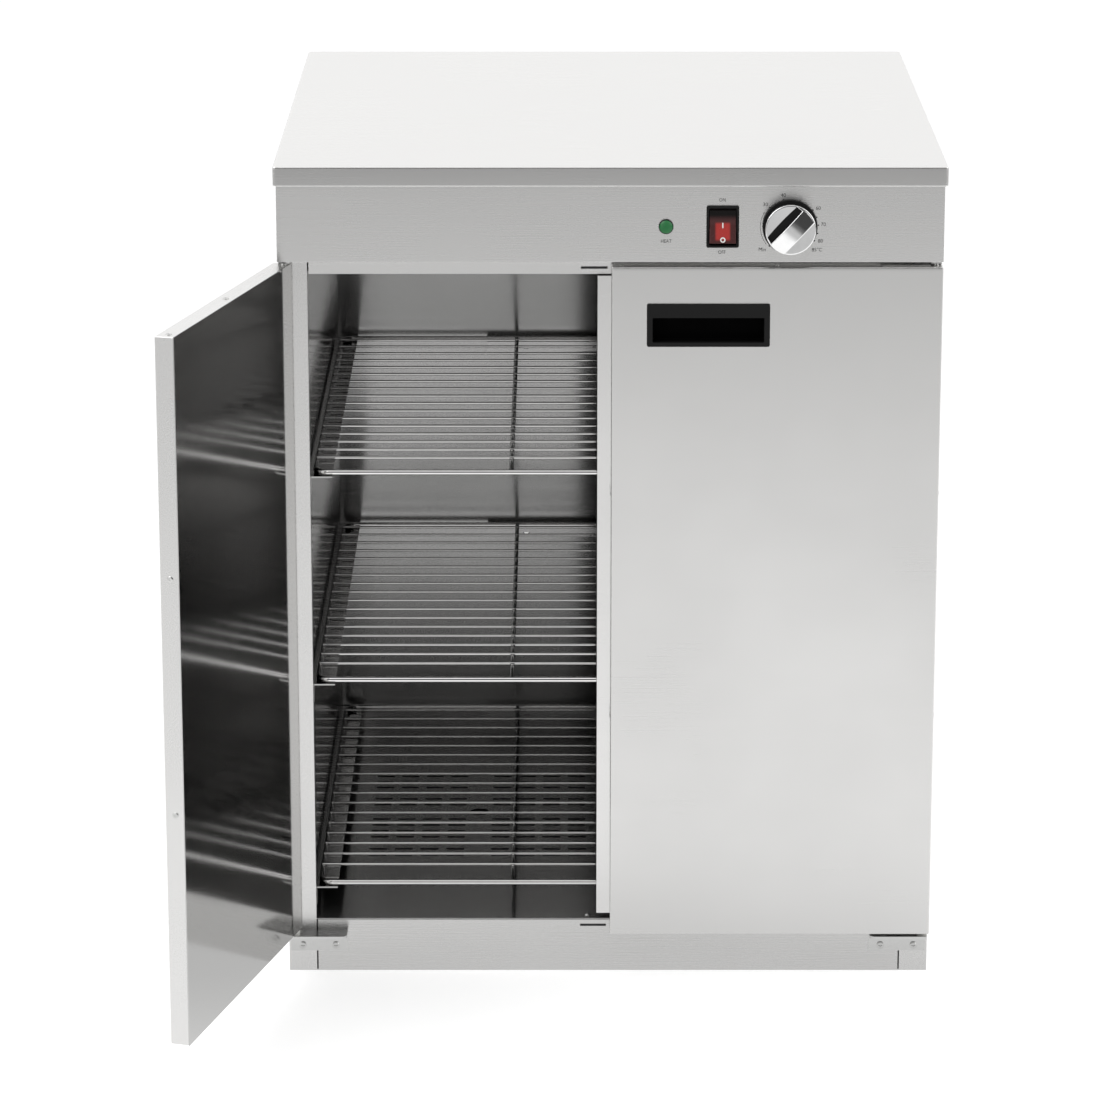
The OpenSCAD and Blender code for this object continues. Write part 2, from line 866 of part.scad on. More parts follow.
module hinge_screws() {
    color("silver") left_too() hinge_screw_places() screw(8);
}

// Four magnetic catches: a case behind the rail and a pole plate in its slot
module magnetic_catches() {
    color("darkslategray")
        left_too()
            for (z = [catch_low_z, catch_high_z]) {
                box([catch_x - catch_l / 2 + 1, frame_y + sheet, z - catch_h / 2 + 0.6],
                    [catch_x + catch_l / 2 - 1, frame_y + sheet + catch_d, z + catch_h / 2 - 0.6]);
                box([catch_x - catch_l / 2 + 1.5, frame_y, z - 0.7],
                    [catch_x + catch_l / 2 - 1.5, frame_y + sheet, z + 0.7]);
            }
}

// ---------- doors, drawn closed on the right-hand side ----------

// Places of a door's edge screws, each turned so that its head faces outwards
module door_screw_places() {
    y = door_back_y - 9.5;
    for (x = [door_x0 + screw_inset, door_x0 + door_w / 2]) {
        translate([x, y, door_z1]) children();
        translate([x, y, door_z0]) rotate([180, 0, 0]) children();
    }
    for (z = [door_z0 + door_h / 3, door_z1 - door_h / 3]) {
        translate([door_x0, y, z]) rotate([0, -90, 0]) children();
        translate([door_x1, y, z]) rotate([0, 90, 0]) children();
    }
}

// Holes for the bushes through the top and bottom edges, to the depth given
module bush_holes(depth) {
    for (z = [door_z0 - 1, door_z1 - depth - 1])
        rod_z(pin_d / 2 + bush_wall + seat_gap, hinge_x, hinge_y, z, z + depth + 2);
}

// Outer skin: a tray open at the back, with the pull cup's cut-out and the bush holes
module door_skin() {
    color("silver")
        difference() {
            box([door_x0, front_y, door_z0], [door_x1, door_back_y - skin - seat_gap, door_z1]);
            box([door_x0 + skin, front_y + skin, door_z0 + skin],
                [door_x1 - skin, door_back_y, door_z1 - skin]);
            box([cup_x0 + cup_side - cup_wall - 0.5, front_y - 1, cup_z0 + cup_rim - cup_wall - 0.5],
                [cup_x0 + cup_w - cup_side + cup_wall + 0.5, front_y + skin + 1, cup_z1 - cup_rim + 0.5]);
            door_screw_places() screw_hole(3);
            bush_holes(skin);
        }
}

// Inner liner: the face seen when the door is open, with flanges inside the skin's edges
module door_liner() {
    edge = skin + seat_gap;
    color("darkgray")
        difference() {
            union() {
                box([door_x0, door_back_y - skin, door_z0], [door_x1, door_back_y, door_z1]);
                box([door_x0 + edge, door_back_y - door_flange, door_z0 + edge],
                    [door_x1 - edge, door_back_y - skin, door_z1 - edge]);
            }
            box([door_x0 + 2 * skin, door_back_y - door_flange - 1, door_z0 + 2 * skin],
                [door_x1 - 2 * skin, door_back_y - skin, door_z1 - 2 * skin]);
            door_screw_places() screw_hole(4);
            bush_holes(2 * skin);
        }
}

// Slab between skin and liner, cut away round the pull cup, the bushes and the screws
module door_insulation() {
    c = 2 * skin + insulation_clear;
    color("khaki")
        difference() {
            box([door_x0 + c, front_y + skin + seat_gap, door_z0 + c],
                [door_x1 - c, door_back_y - skin - seat_gap, door_z1 - c]);
            box([cup_x0 - 1, front_y, cup_z0 - 1], [cup_x0 + cup_w + 1, door_back_y, cup_z1 + 1]);
            box([hinge_x - 12, front_y, door_z0], [door_x1, door_back_y, door_z0 + 20]);
            box([hinge_x - 12, front_y, door_z1 - 20], [door_x1, door_back_y, door_z1]);
            door_screw_places() screw_hole(8);
        }
}

module door_screws() {
    color("gray") door_screw_places() screw(5, 3.2, flush_head_h);
}

// Bushes in which the hinge pins turn
module door_bushes() {
    color("white")
        for (z = [door_z0, door_z1 - bush_l])
            difference() {
                rod_z(pin_d / 2 + bush_wall, hinge_x, hinge_y, z, z + bush_l);
                rod_z(pin_d / 2 + pin_fit, hinge_x, hinge_y, z - 1, z + bush_l + 1);
            }
}

// Recessed pull: bezel, cup and the pocket behind the upper lip
module pull_cup() {
    x0 = cup_x0;
    x1 = cup_x0 + cup_w;
    in_x0 = x0 + cup_side;
    in_x1 = x1 - cup_side;
    in_z0 = cup_z0 + cup_rim;
    in_z1 = cup_z1 - cup_rim - cup_wall;
    color("black")
        difference() {
            union() {
                translate([x0, front_y, cup_z0]) rotate([90, 0, 0])
                    linear_extrude(height = bezel_t) {
                        translate([2, 0]) square([cup_w - 4, cup_h]);
                        translate([0, 2]) square([cup_w, cup_h - 4]);
                        for (cx = [2, cup_w - 2], cz = [2, cup_h - 2])
                            translate([cx, cz]) circle(r = 2);
                    }
                box([in_x0 - cup_wall, front_y, in_z0 - cup_wall],
                    [in_x1 + cup_wall, front_y + cup_depth, in_z1 + cup_wall]);
            }
            box([in_x0, front_y + bezel_t, in_z0], [in_x1, front_y + cup_depth - cup_wall, in_z1]);
            box([in_x0, front_y - bezel_t - 1, in_z0], [in_x1, front_y + bezel_t + 1, cup_z1 - cup_lip]);
        }
}

// Strip on the back of the right door, stepped back where the left door shuts in front of it
module door_astragal() {
    back = door_back_y;
    t = 1.2;
    step = 0.5;
    x0 = door_x0 - astragal_over;
    x1 = door_x0 + 18;
    z0 = floor_h + 8;
    z1 = opening_top - 1.2;
    color("whitesmoke")
        translate([0, 0, z0])
            linear_extrude(height = z1 - z0)
                polygon([
                    [x1, back], [x1, back + t], [x0 + t, back + t + step],
                    [x0 + t, back + 4], [x0, back + 4], [x0, back + step], [door_x0 - 0.2, back + step],
                    [door_x0, back]
                ]);
}

// ---------- controls ----------

module thermostat_body() {
    y0 = front_y + sheet;
    color("ivory")
        difference() {
            union() {
                box([knob_x - therm_w / 2, y0, control_z - therm_w / 2],
                    [knob_x + therm_w / 2, y0 + therm_d, control_z + therm_w / 2]);
                for (dx = [-15, -5, 5, 15])
                    box([knob_x + dx - 3, y0 + therm_d, control_z + 10],
                        [knob_x + dx + 3, y0 + therm_d + 8, control_z + 10.8]);
            }
            rod_y(spindle_r + pin_fit, knob_x, control_z, y0 - 1, y0 + therm_d - 4);
        }
}

// Spindle that carries the knob, with its free end inside the knob
module thermostat_spindle() {
    color("gray")
        rod_y(spindle_r, knob_x, control_z, front_y - skirt_gap - skirt_h, front_y + sheet + therm_d - 6);
}

// Black skirt behind the knob's bright cap
module knob_skirt() {
    y1 = front_y - skirt_gap;
    color("black")
        difference() {
            union() {
                rod_y(knob_d / 2 - 1.5, knob_x, control_z, y1 - skirt_h, y1 - 3);
                rod_y(knob_d / 2, knob_x, control_z, y1 - 3, y1);
            }
            rod_y(spindle_r, knob_x, control_z, y1 - skirt_h - 1, y1 + 1);
            for (turn = [0 : 60 : 300])
                translate([knob_x, 0, control_z]) rotate([0, turn, 0])
                    translate([knob_d / 3, 0, 0]) rod_y(4, 0, 0, y1 - skirt_h + 3, y1 + 1);
        }
}

// Bright cap: round face with a tapering grip bar right across it
module control_knob() {
    y1 = front_y - skirt_gap - skirt_h;
    color("gainsboro")
        translate([knob_x, y1, control_z]) rotate([90, 0, 0])
            union() {
                cylinder(d = knob_d, h = cap_h - 1);
                translate([0, 0, cap_h - 1]) cylinder(d1 = knob_d, d2 = knob_d - 2, h = 1);
                intersection() {
                    rotate([0, 0, grip_angle]) rotate([90, 0, 90])
                        translate([0, 0, -knob_d])
                            linear_extrude(height = 2 * knob_d)
                                polygon([
                                    [-grip_w / 2, cap_h - 1], [grip_w / 2, cap_h - 1],
                                    [grip_top_w / 2, cap_h + grip_h], [-grip_top_w / 2, cap_h + grip_h]
                                ]);
                    cylinder(d1 = knob_d + 1, d2 = knob_d - 5, h = cap_h + grip_h + 1);
                }
            }
}

// Bezel and open-fronted body of the switch
module switch_housing() {
    bw = switch_body_w;
    bh = switch_body_h;
    y1 = front_y + switch_body_d;
    color("black")
        difference() {
            union() {
                box([switch_x - switch_w / 2, front_y - switch_bezel_t, control_z - switch_h / 2],
                    [switch_x + switch_w / 2, front_y, control_z + switch_h / 2]);
                box([switch_x - bw / 2, front_y, control_z - bh / 2],
                    [switch_x + bw / 2, y1, control_z + bh / 2]);
                for (dx = [-7, 7], dz = [-12, 0, 12])
                    box([switch_x + dx - 0.4, y1, control_z + dz - 3.2],
                        [switch_x + dx + 0.4, y1 + 9, control_z + dz + 3.2]);
            }
            box([switch_x - bw / 2 + switch_wall, front_y - switch_bezel_t - 1,
                 control_z - bh / 2 + switch_wall],
                [switch_x + bw / 2 - switch_wall, front_y + 18, control_z + bh / 2 - switch_wall]);
            rod_x(rocker_pivot_r + pin_fit, switch_x - bw / 2 - 1, switch_x + bw / 2 + 1,
                  rocker_y, control_z);
        }
}

// Rocker: two faces meeting in a shallow angle, rocked so that its top is pressed in
module switch_rocker() {
    rw = switch_body_w - 2 * switch_wall - 2 * control_gap;
    reach = switch_body_h / 2 - switch_wall - 1.4;
    face = rocker_y - front_y + switch_bezel_t + 1;
    rise = tan(rocker_tilt) * reach;
    color("red")
        translate([switch_x, rocker_y, control_z]) rotate([-rocker_tilt, 0, 0])
            union() {
                translate([-rw / 2, 0, 0]) rotate([90, 0, 90])
                    linear_extrude(height = rw)
                        polygon([
                            [-face - rise / 2, -reach], [-face + rise / 2, 0], [-face - rise / 2, reach],
                            [-1, reach], [3, reach / 3], [6, reach / 4],
                            [6, -reach / 4], [3, -reach / 3], [-1, -reach]
                        ]);
                rod_x(rocker_pivot_r, -switch_body_w / 2 + 0.2, switch_body_w / 2 - 0.2, 0, 0);
            }
}

module lamp_bezel() {
    color("black")
        difference() {
            union() {
                rod_y(lamp_d / 2, lamp_x, control_z, front_y - 2, front_y);
                rod_y(lamp_body_d / 2, lamp_x, control_z, front_y, front_y + 24);
                rod_y(lamp_body_d / 2 + 2.5, lamp_x, control_z, front_y + sheet, front_y + sheet + 3);
            }
            rod_y(lamp_d / 2 - lamp_rim, lamp_x, control_z, front_y - 3, front_y - 0.4);
            rod_y(lamp_body_d / 2 - 1.5, lamp_x, control_z, front_y - 1, front_y + 20);
        }
}

module lamp_lens() {
    seat_r = lamp_d / 2 - lamp_rim;
    color("green")
        union() {
            rod_y(seat_r, lamp_x, control_z, front_y - 2.6, front_y - 0.4);
            translate([lamp_x, front_y - 2.6, control_z]) rotate([90, 0, 0])
                cylinder(r1 = seat_r, r2 = seat_r - 1.8, h = 1.4);
            rod_y(lamp_body_d / 2 - 1.6, lamp_x, control_z, front_y - 0.4, front_y + 8);
        }
}

// Sensing bulb under the chamber roof and the capillary that joins it to the thermostat
module sensing_bulb() {
    r = capillary_d / 2;
    b = capillary_bend;
    y_start = front_y + sheet + therm_d;
    y_drop = bulb_y - 10 - b;
    color("peru")
        union() {
            rod_y(r, knob_x, control_z - 8, y_start, y_drop - b);
            translate([knob_x, y_drop - b, control_z - 8 - b]) rotate([90, 0, 90])
                rotate_extrude(angle = 90) translate([b, 0]) circle(r = r);
            rod_z(r, knob_x, y_drop, bulb_z + b, control_z - 8 - b);
            translate([knob_x, y_drop + b, bulb_z + b]) rotate([90, 180, 90])
                rotate_extrude(angle = 90) translate([b, 0]) circle(r = r);
            rod_y(r, knob_x, bulb_z, y_drop + b, bulb_y);
            rod_y(bulb_d / 2, knob_x, bulb_z, bulb_y, bulb_y + bulb_l);
        }
}

// Two places along the bulb, on the roof's underside
module bulb_clip_places() {
    for (share = [0.2, 0.8])
        translate([knob_x, bulb_y + share * bulb_l, roof_z]) children();
}

module bulb_clips() {
    color("silver")
        bulb_clip_places() {
            difference() {
                union() {
                    rod_y(bulb_d / 2 + 1.2, 0, bulb_z - roof_z, -5, 5);
                    box([0, -5, bulb_z - roof_z + bulb_d / 2 + 0.2 - 1.2], [1.2, 5, 0]);
                    box([0, -5, -1.2], [bulb_clip_side + 5, 5, 0]);
                }
                rod_y(bulb_d / 2 + pin_fit, 0, bulb_z - roof_z, -6, 6);
                rod_z(1.6, bulb_clip_side, 0, -3, 1);
            }
            rod_z(1.5, bulb_clip_side, 0, -1.2, 4);
            rod_z(3, bulb_clip_side, 0, -2.8, -1.2);
        }
}

// ---------- the assembly ----------

base_pan();
mirror([1, 0, 0]) side_panel();  // left_side_panel
side_panel();  // right_side_panel
back_panel();
plinth_rail();
top_rail();
top_lid();
lid_stiffeners();
control_fascia();
mirror([1, 0, 0]) chamber_wall();  // left_chamber_wall
chamber_wall();  // right_chamber_wall
rear_chamber_wall();
chamber_roof();
perforated_floor();
chamber_insulation();
base_insulation();
element_tray();
heating_elements();
element_brackets();
terminal_block();
cable_gland();
gland_locknut();
wiring_conduit();
mirror([1, 0, 0]) shelf_runners();  // left_shelf_runners
shelf_runners();  // right_shelf_runners
rear_shelf_rests();
chamber_screws();
magnetic_catches();
hinge_brackets();
hinge_pins();
hinge_washers();
hinge_screws();
back_panel_screws();
thermostat_body();
sensing_bulb();
bulb_clips();
switch_housing();
lamp_bezel();
lamp_lens();
thermostat_spindle();
knob_skirt();
control_knob();
switch_rocker();
on_left_door() door_skin();  // left_door_skin
on_left_door() door_liner();  // left_door_liner
on_left_door() door_insulation();  // left_door_insulation
on_left_door() pull_cup();  // left_pull_cup
on_left_door() door_screws();  // left_door_screws
on_left_door() door_bushes();  // left_door_bushes
door_skin();  // right_door_skin
door_liner();  // right_door_liner
door_insulation();  // right_door_insulation
pull_cup();  // right_pull_cup
door_screws();  // right_door_screws
door_bushes();  // right_door_bushes
door_astragal();
wire_shelf(shelf_levels[2]);  // upper_shelf
wire_shelf(shelf_levels[1]);  // middle_shelf
wire_shelf(shelf_levels[0]);  // lower_shelf
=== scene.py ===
# %% [markdown]
# A plate warmer is a kitchen cabinet of folded stainless sheet with heated, wire-shelved insides.
# The CAD model already holds every panel, hinge and screw in its true place. This lesson gives
# that frame its finish: brushed sheet, rolled edges, welded shelves, moulded controls and marks.
# Each step says what the piece is on the real cabinet, how it could be made, and why this way.

# %% Load the frame
import json
import math

import bmesh
import bpy
import numpy as np
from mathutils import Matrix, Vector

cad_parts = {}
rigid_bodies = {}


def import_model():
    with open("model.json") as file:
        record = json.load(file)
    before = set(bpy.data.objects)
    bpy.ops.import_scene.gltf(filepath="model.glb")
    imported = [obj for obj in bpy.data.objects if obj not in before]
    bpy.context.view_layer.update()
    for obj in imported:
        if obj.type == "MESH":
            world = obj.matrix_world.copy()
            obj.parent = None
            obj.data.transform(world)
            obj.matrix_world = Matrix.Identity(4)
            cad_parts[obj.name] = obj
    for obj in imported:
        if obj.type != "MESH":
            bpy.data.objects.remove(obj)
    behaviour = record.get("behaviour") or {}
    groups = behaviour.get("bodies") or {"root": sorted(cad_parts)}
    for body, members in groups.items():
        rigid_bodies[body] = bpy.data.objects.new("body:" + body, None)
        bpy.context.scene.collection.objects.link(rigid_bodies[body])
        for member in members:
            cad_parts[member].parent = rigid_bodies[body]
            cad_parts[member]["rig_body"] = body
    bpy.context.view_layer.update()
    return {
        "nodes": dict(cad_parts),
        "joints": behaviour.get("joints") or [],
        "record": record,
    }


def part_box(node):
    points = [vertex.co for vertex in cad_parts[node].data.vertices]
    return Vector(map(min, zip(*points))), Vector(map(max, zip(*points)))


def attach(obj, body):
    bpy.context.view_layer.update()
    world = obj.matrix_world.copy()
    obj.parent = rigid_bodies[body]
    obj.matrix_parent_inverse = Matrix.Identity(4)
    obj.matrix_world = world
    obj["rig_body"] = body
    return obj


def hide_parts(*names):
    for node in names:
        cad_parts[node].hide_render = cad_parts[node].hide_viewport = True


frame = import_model()
joints = {joint["child"]: joint for joint in frame["joints"]}
MM = 0.001
print("nodes in the frame:", len(frame["nodes"]))

# %% [markdown]
# The photograph was taken from the front, a little above the worktop, with a long lens.
# A camera can be placed by eye, but corners of the lid, doors and plinth give its place by
# least squares, and those numbers are used here. The small shift sets the cabinet high in the
# frame.

# %% Camera
CAMERA_PLACE = (-51.5 * MM, -4925.3 * MM, 1813.4 * MM)
CAMERA_PITCH = 0.2578
FOCAL_PIXELS = 4491.1
AXIS_PIXEL_X = 560.9
FRAME_PIXELS = 1100.0
SENSOR_MM = 36.0
SHIFT_UP = -0.10

camera_data = bpy.data.cameras.new("photo_camera")
camera_data.sensor_width = SENSOR_MM
camera_data.lens = FOCAL_PIXELS / FRAME_PIXELS * SENSOR_MM
camera_data.shift_x = 0.5 - AXIS_PIXEL_X / FRAME_PIXELS
camera_data.shift_y = SHIFT_UP
camera = bpy.data.objects.new("photo_camera", camera_data)
camera.location = CAMERA_PLACE
camera.rotation_euler = (math.pi / 2 - CAMERA_PITCH, 0.0, 0.0)
bpy.context.scene.collection.objects.link(camera)
bpy.context.scene.camera = camera
bpy.context.scene.view_settings.view_transform = "Standard"
print("lens in mm:", round(camera_data.lens, 1))

# %% [markdown]
# Steel shows its surroundings more than its own colour, so the room matters more than the lamps.
# A studio for such a photograph is a white floor sweep, white walls behind and above, and a darker
# room behind the camera. The world holds those tones for mirror rays, and plain white for the
# camera.


# %% Node helpers
def node_adder(owner):
    """Turns node shading on for a material or the world, empties it and returns a node adder."""
    owner.use_nodes = True
    tree = owner.node_tree
    tree.nodes.clear()

    def add(kind, inputs=None, **settings):
        """Adds one node, sets its plain settings, then fills its inputs with links or values."""
        made = tree.nodes.new(kind)
        for key, value in settings.items():
            setattr(made, key, value)
        for key, value in (inputs or {}).items():
            socket = made.inputs[key]
            if isinstance(value, bpy.types.NodeSocket):
                tree.links.new(value, socket)
            else:
                socket.default_value = value
        return made

    return add


def remap(add, value, reads, gives, smooth=False):
    """Carries the range in reads to the range in gives, held at both ends, straight or eased."""
    kind = "SMOOTHSTEP" if smooth else "LINEAR"
    return add("ShaderNodeMapRange", {"Value": value, "From Min": reads[0], "From Max": reads[1],
                                      "To Min": gives[0], "To Max": gives[1]},
               interpolation_type=kind).outputs[0]


def calc(add, operation, a, b=0.5):
    """One step of arithmetic on two numbers, or on the first alone."""
    return add("ShaderNodeMath", {0: a, 1: b}, operation=operation).outputs[0]


def mix(add, share, a, b):
    """The number a where share is 0 and b where it is 1."""
    return add("ShaderNodeMix", {"Factor": share, "A": a, "B": b}).outputs[0]


def mix_colour(add, share, a, b):
    """The colour a where share is 0 and b where it is 1."""
    return add("ShaderNodeMix", {0: share, 6: a, 7: b}, data_type="RGBA").outputs[2]


def grey(level):
    """A neutral colour of one level."""
    return (level, level, level, 1.0)


def mirror_ray(add, ray):
    """1 for rays that come off metal or through a lens, and 0 for all others."""
    return calc(add, "MAXIMUM", ray.outputs["Is Glossy Ray"], ray.outputs["Is Transmission Ray"])


# %% World: white to the camera, a soft studio to the metal
ROOM_FRONT = 0.05
ROOM_BACK = 1.0
ROOM_UP = 1.0
ROOM_DIFFUSE = 0.62

world = bpy.data.worlds.new("studio")
bpy.context.scene.world = world
add = node_adder(world)
parts = add("ShaderNodeSeparateXYZ", {0: add("ShaderNodeTexCoord").outputs["Generated"]})
front_to_back = remap(add, parts.outputs["Y"], (-0.9, 0.1), (ROOM_FRONT, ROOM_BACK), smooth=True)
overhead = remap(add, parts.outputs["Z"], (0.55, 0.92), (0.0, 1.0), smooth=True)
mirrored = mix(add, overhead, front_to_back, ROOM_UP)
ray = add("ShaderNodeLightPath")
not_camera = mix(add, mirror_ray(add, ray), ROOM_DIFFUSE, mirrored)
level = mix(add, ray.outputs["Is Camera Ray"], not_camera, 1.0)
background = add("ShaderNodeBackground", {"Color": grey(1.0), "Strength": level})
add("ShaderNodeOutputWorld", {"Surface": background.outputs[0]})
print("room tones, front, back and above:", ROOM_FRONT, ROOM_BACK, ROOM_UP)

# %% [markdown]
# The floor is a plain white sweep. It could be a shadow catcher, but a real floor gives the metal
# something to mirror. Its own light comes only for camera and mirror rays, so the object's soft
# shadow still falls on it, and for mirror rays it darkens with distance, as a lit sweep does. For
# mirror rays it is also darker close to the cabinet, a painted shadow round its foot.


# %% Floor
def mesh_object(name, points, faces):
    """Puts arrays of points and faces in a new mesh object at the origin."""
    mesh = bpy.data.meshes.new(name)
    mesh.from_pydata(np.asarray(points, dtype=float).tolist(), [], [list(face) for face in faces])
    mesh.update()
    made = bpy.data.objects.new(name, mesh)
    bpy.context.scene.collection.objects.link(made)
    return made


FLOOR_REACH = 14.0
FLOOR_GREY, FLOOR_GLOW = 0.85, 0.50
FLOOR_FAR = ((2.5, 4.0), (1.0, 0.52))
FLOOR_HORIZON = ((5.0, 9.0), (1.0, 0.25))
# Painted shadow: mirror rays see the floor darker close to the cabinet
FLOOR_PAINTED_SHADOW = ((0.42, 0.85), (0.70, 1.0))
corners = np.array([[-1, -1, 0], [1, -1, 0], [1, 1, 0], [-1, 1, 0]]) * FLOOR_REACH
floor = mesh_object("studio_floor", corners, [(0, 1, 2, 3)])
floor_paint = bpy.data.materials.new("studio_floor")
add = node_adder(floor_paint)
place = add("ShaderNodeTexCoord").outputs["Object"]
distance = add("ShaderNodeVectorMath", {0: place}, operation="LENGTH").outputs["Value"]
sweep = 1.0
for reads, gives in (FLOOR_FAR, FLOOR_PAINTED_SHADOW, FLOOR_HORIZON):
    sweep = calc(add, "MULTIPLY", remap(add, distance, reads, gives, smooth=True), sweep)
ray = add("ShaderNodeLightPath")
diffuse = add("ShaderNodeBsdfDiffuse", {"Color": grey(FLOOR_GREY)}).outputs[0]
own_light, mirrored = (add("ShaderNodeEmission", {"Color": grey(1.0), "Strength": power}).outputs[0]
                       for power in (FLOOR_GLOW, sweep))
lit = add("ShaderNodeAddShader", {0: diffuse, 1: own_light}).outputs[0]
plain = add("ShaderNodeMixShader", {0: ray.outputs["Is Camera Ray"], 1: diffuse, 2: lit}).outputs[0]
final = add("ShaderNodeMixShader", {0: mirror_ray(add, ray), 1: plain, 2: mirrored}).outputs[0]
add("ShaderNodeOutputMaterial", {"Surface": final})
floor.data.materials.append(floor_paint)
print("floor reaches", FLOOR_REACH, "m")

# %% [markdown]
# Two large soft boxes shape the diffuse pieces and draw soft highlights on edges and wires.
# They are big and weak, so nothing clips and every shadow stays soft.


# %% Lamps
def soft_box(name, place, size, watts, target=(0.0, -0.2, 0.5)):
    """A square area lamp at place that faces target."""
    data = bpy.data.lights.new(name, "AREA")
    data.shape = "RECTANGLE"
    data.size, data.size_y, data.energy = size, size, watts
    lamp = bpy.data.objects.new(name, data)
    lamp.location = place
    aim = np.array(target) - np.array(place)
    tilt, heading = math.atan2(math.hypot(aim[0], aim[1]), -aim[2]), math.atan2(aim[1], aim[0])
    lamp.rotation_euler = (tilt, 0.0, heading - math.pi / 2)
    bpy.context.scene.collection.objects.link(lamp)


soft_box("key_lamp", (-2.6, -2.4, 3.2), 3.4, 62.0)
soft_box("fill_lamp", (3.0, -2.0, 2.2), 2.6, 26.0)
print("lamps:", len(bpy.data.lights))

# %% [markdown]
# Brushed stainless is a mirror crossed by fine parallel scratches. It could be painted with an
# image, but noise stretched along the brushing gives the same streaks at any scale. One fine layer
# makes the grain, one coarse layer makes the bands the grinding belt leaves, and a cloudy layer
# makes the faint handling marks, all in roughness and bump with only a trace in the colour.


# %% Surface helpers
def new_material(name):
    """A material with no nodes yet, and its add function."""
    material = bpy.data.materials.new(name)
    return material, node_adder(material)


def object_mapping(add, turn=0.0, stretch=(1.0, 1.0, 1.0)):
    """Object coordinates turned about Z, then stretched, in cycles per metre."""
    where = add("ShaderNodeTexCoord").outputs["Object"]
    turned = add("ShaderNodeMapping", {"Vector": where, "Rotation": (0.0, 0.0, turn)})
    return add("ShaderNodeMapping", {"Vector": turned.outputs[0], "Scale": stretch}).outputs[0]


def place_along(add, axis):
    """The place of a point along one axis, in metres."""
    return add("ShaderNodeSeparateXYZ", {0: object_mapping(add)}).outputs[axis]


def noise(add, scale=1.0, detail=2.0, rough=0.5, turn=0.0, stretch=(1.0, 1.0, 1.0)):
    """Cloudy noise on the mapped object coordinates, about 0.3 to 0.7."""
    return add("ShaderNodeTexNoise", {"Vector": object_mapping(add, turn, stretch), "Scale": scale,
                                      "Detail": detail, "Roughness": rough}).outputs["Fac"]


def bumped(add, height, strength, distance, **before):
    """A normal tilted by the slope of a height, on top of an earlier Normal if one is given."""
    return add("ShaderNodeBump", {"Height": height, "Strength": strength, "Distance": distance,
                                  **before}).outputs[0]


def shaded(add, colour, share):
    """A colour times a share that varies over the surface."""
    return add("ShaderNodeVectorMath", {0: colour, 1: share}, operation="MULTIPLY").outputs[0]


def attribute(add, name):
    """A value stored on the piece's points, 0 where the piece has none."""
    return add("ShaderNodeAttribute", attribute_name=name, attribute_type="GEOMETRY").outputs["Fac"]


def principled(add, colour, **inputs):
    """Ends a material with one Principled shader, its inputs given by their own names."""
    named = {key.replace("_", " "): value for key, value in inputs.items()}
    shader = add("ShaderNodeBsdfPrincipled", {"Base Color": colour, **named})
    add("ShaderNodeOutputMaterial", {"Surface": shader.outputs[0]})


# %% Brushed steel
STEEL_TINT = (1.0, 0.994, 0.982)
BLUR_UP = (0.0, 0.0, 1.0)
BLUR_ACROSS = (0.0, 1.0, 1.0)
# Share of tone left by the painted shade on a lid's skirt, and where its painted hem highlight lies
SKIRT_PAINTED_SHADE = 0.78
HEM_DROP, HEM_FADE = 18.0 * MM, 0.6 * MM


def grain_stretch(axis, along, across):
    """Noise cycles per metre: few along the brushing, many across it."""
    return tuple(along if name == axis else across for name in "xyz")


def brushed_steel(name, tone, axis="x", turn=0.0, rough=0.30, rough_span=0.03, grain_depth=0.12,
                  blur=BLUR_UP, one_way=0.85, marks=0.02, painted_shade_below=None, lean=0.0):
    """Metal whose roughness, bump and tone follow noise stretched along the brushing axis.
    Its reflections are drawn out in the blur direction, across the scratches, as on brushed sheet.
    A sheet may be darkened below a height, a painted shade, but for its hem, which keeps its
    full tone as a painted highlight, and may lean a trace off true."""
    material, add = new_material(name)
    fine = noise(add, 1.0, 3.0, 0.6, turn, grain_stretch(axis, 9.0, 1500.0))
    bands = noise(add, 1.0, 4.0, 0.65, turn, grain_stretch(axis, 1.3, 330.0))
    clouds = noise(add, 1.0, 5.0, 0.55, turn, (4.5, 4.5, 4.5))
    grain = mix(add, 0.2, fine, bands)
    streaks = remap(add, grain, (0.3, 0.7), (rough - rough_span, rough + rough_span))
    smudge = remap(add, clouds, (0.35, 0.7), (-marks, marks))
    shade = remap(add, grain, (0.3, 0.7), (0.982, 1.013))
    colour = shaded(add, tuple(tone * c for c in STEEL_TINT), shade)
    normal = bumped(add, grain, grain_depth, 0.03 * MM)
    # Painted shade below the height, and a painted highlight on the hem band, which keeps its full
    # tone
    if painted_shade_below is not None:
        height, hem_top = place_along(add, "Z"), painted_shade_below - HEM_DROP
        skirt = remap(add, height, (painted_shade_below - MM, painted_shade_below), (SKIRT_PAINTED_SHADE, 1.0))
        hem_painted_highlight = remap(add, height, (hem_top - HEM_FADE, hem_top), (1.0, 0.0))
        colour = shaded(add, colour, calc(add, "MAXIMUM", skirt, hem_painted_highlight))
    if lean:
        slope = calc(add, "MULTIPLY", place_along(add, "X"), -lean)
        normal = bumped(add, slope, 1.0, 1.0, Normal=normal)
    spread = add("ShaderNodeCombineXYZ", {"X": blur[0], "Y": blur[1], "Z": blur[2]}).outputs[0]
    principled(add, colour, Metallic=1.0, Roughness=calc(add, "ADD", streaks, smudge),
               Normal=normal, Anisotropic=one_way, Tangent=spread)
    return material


# %% [markdown]
# Each part of the cabinet is the same sheet in another state. The worktop and frame are polished
# most, the outside is brushed, and the chamber and liners are smoother mirrors with darker tones.
# The chamber's darker tones, the roof's darkest, are painted shade for the inside of the cabinet.
# The left door stands open, so its brushing is turned with it.

# %% Steels of this cabinet
LEFT_OPEN = math.radians(joints["left_door"]["range_deg"][1])
LID_SKIRT_TOP = 899.0 * MM
LINER_POLISH = dict(rough_span=0.012, marks=0.01, grain_depth=0.05)

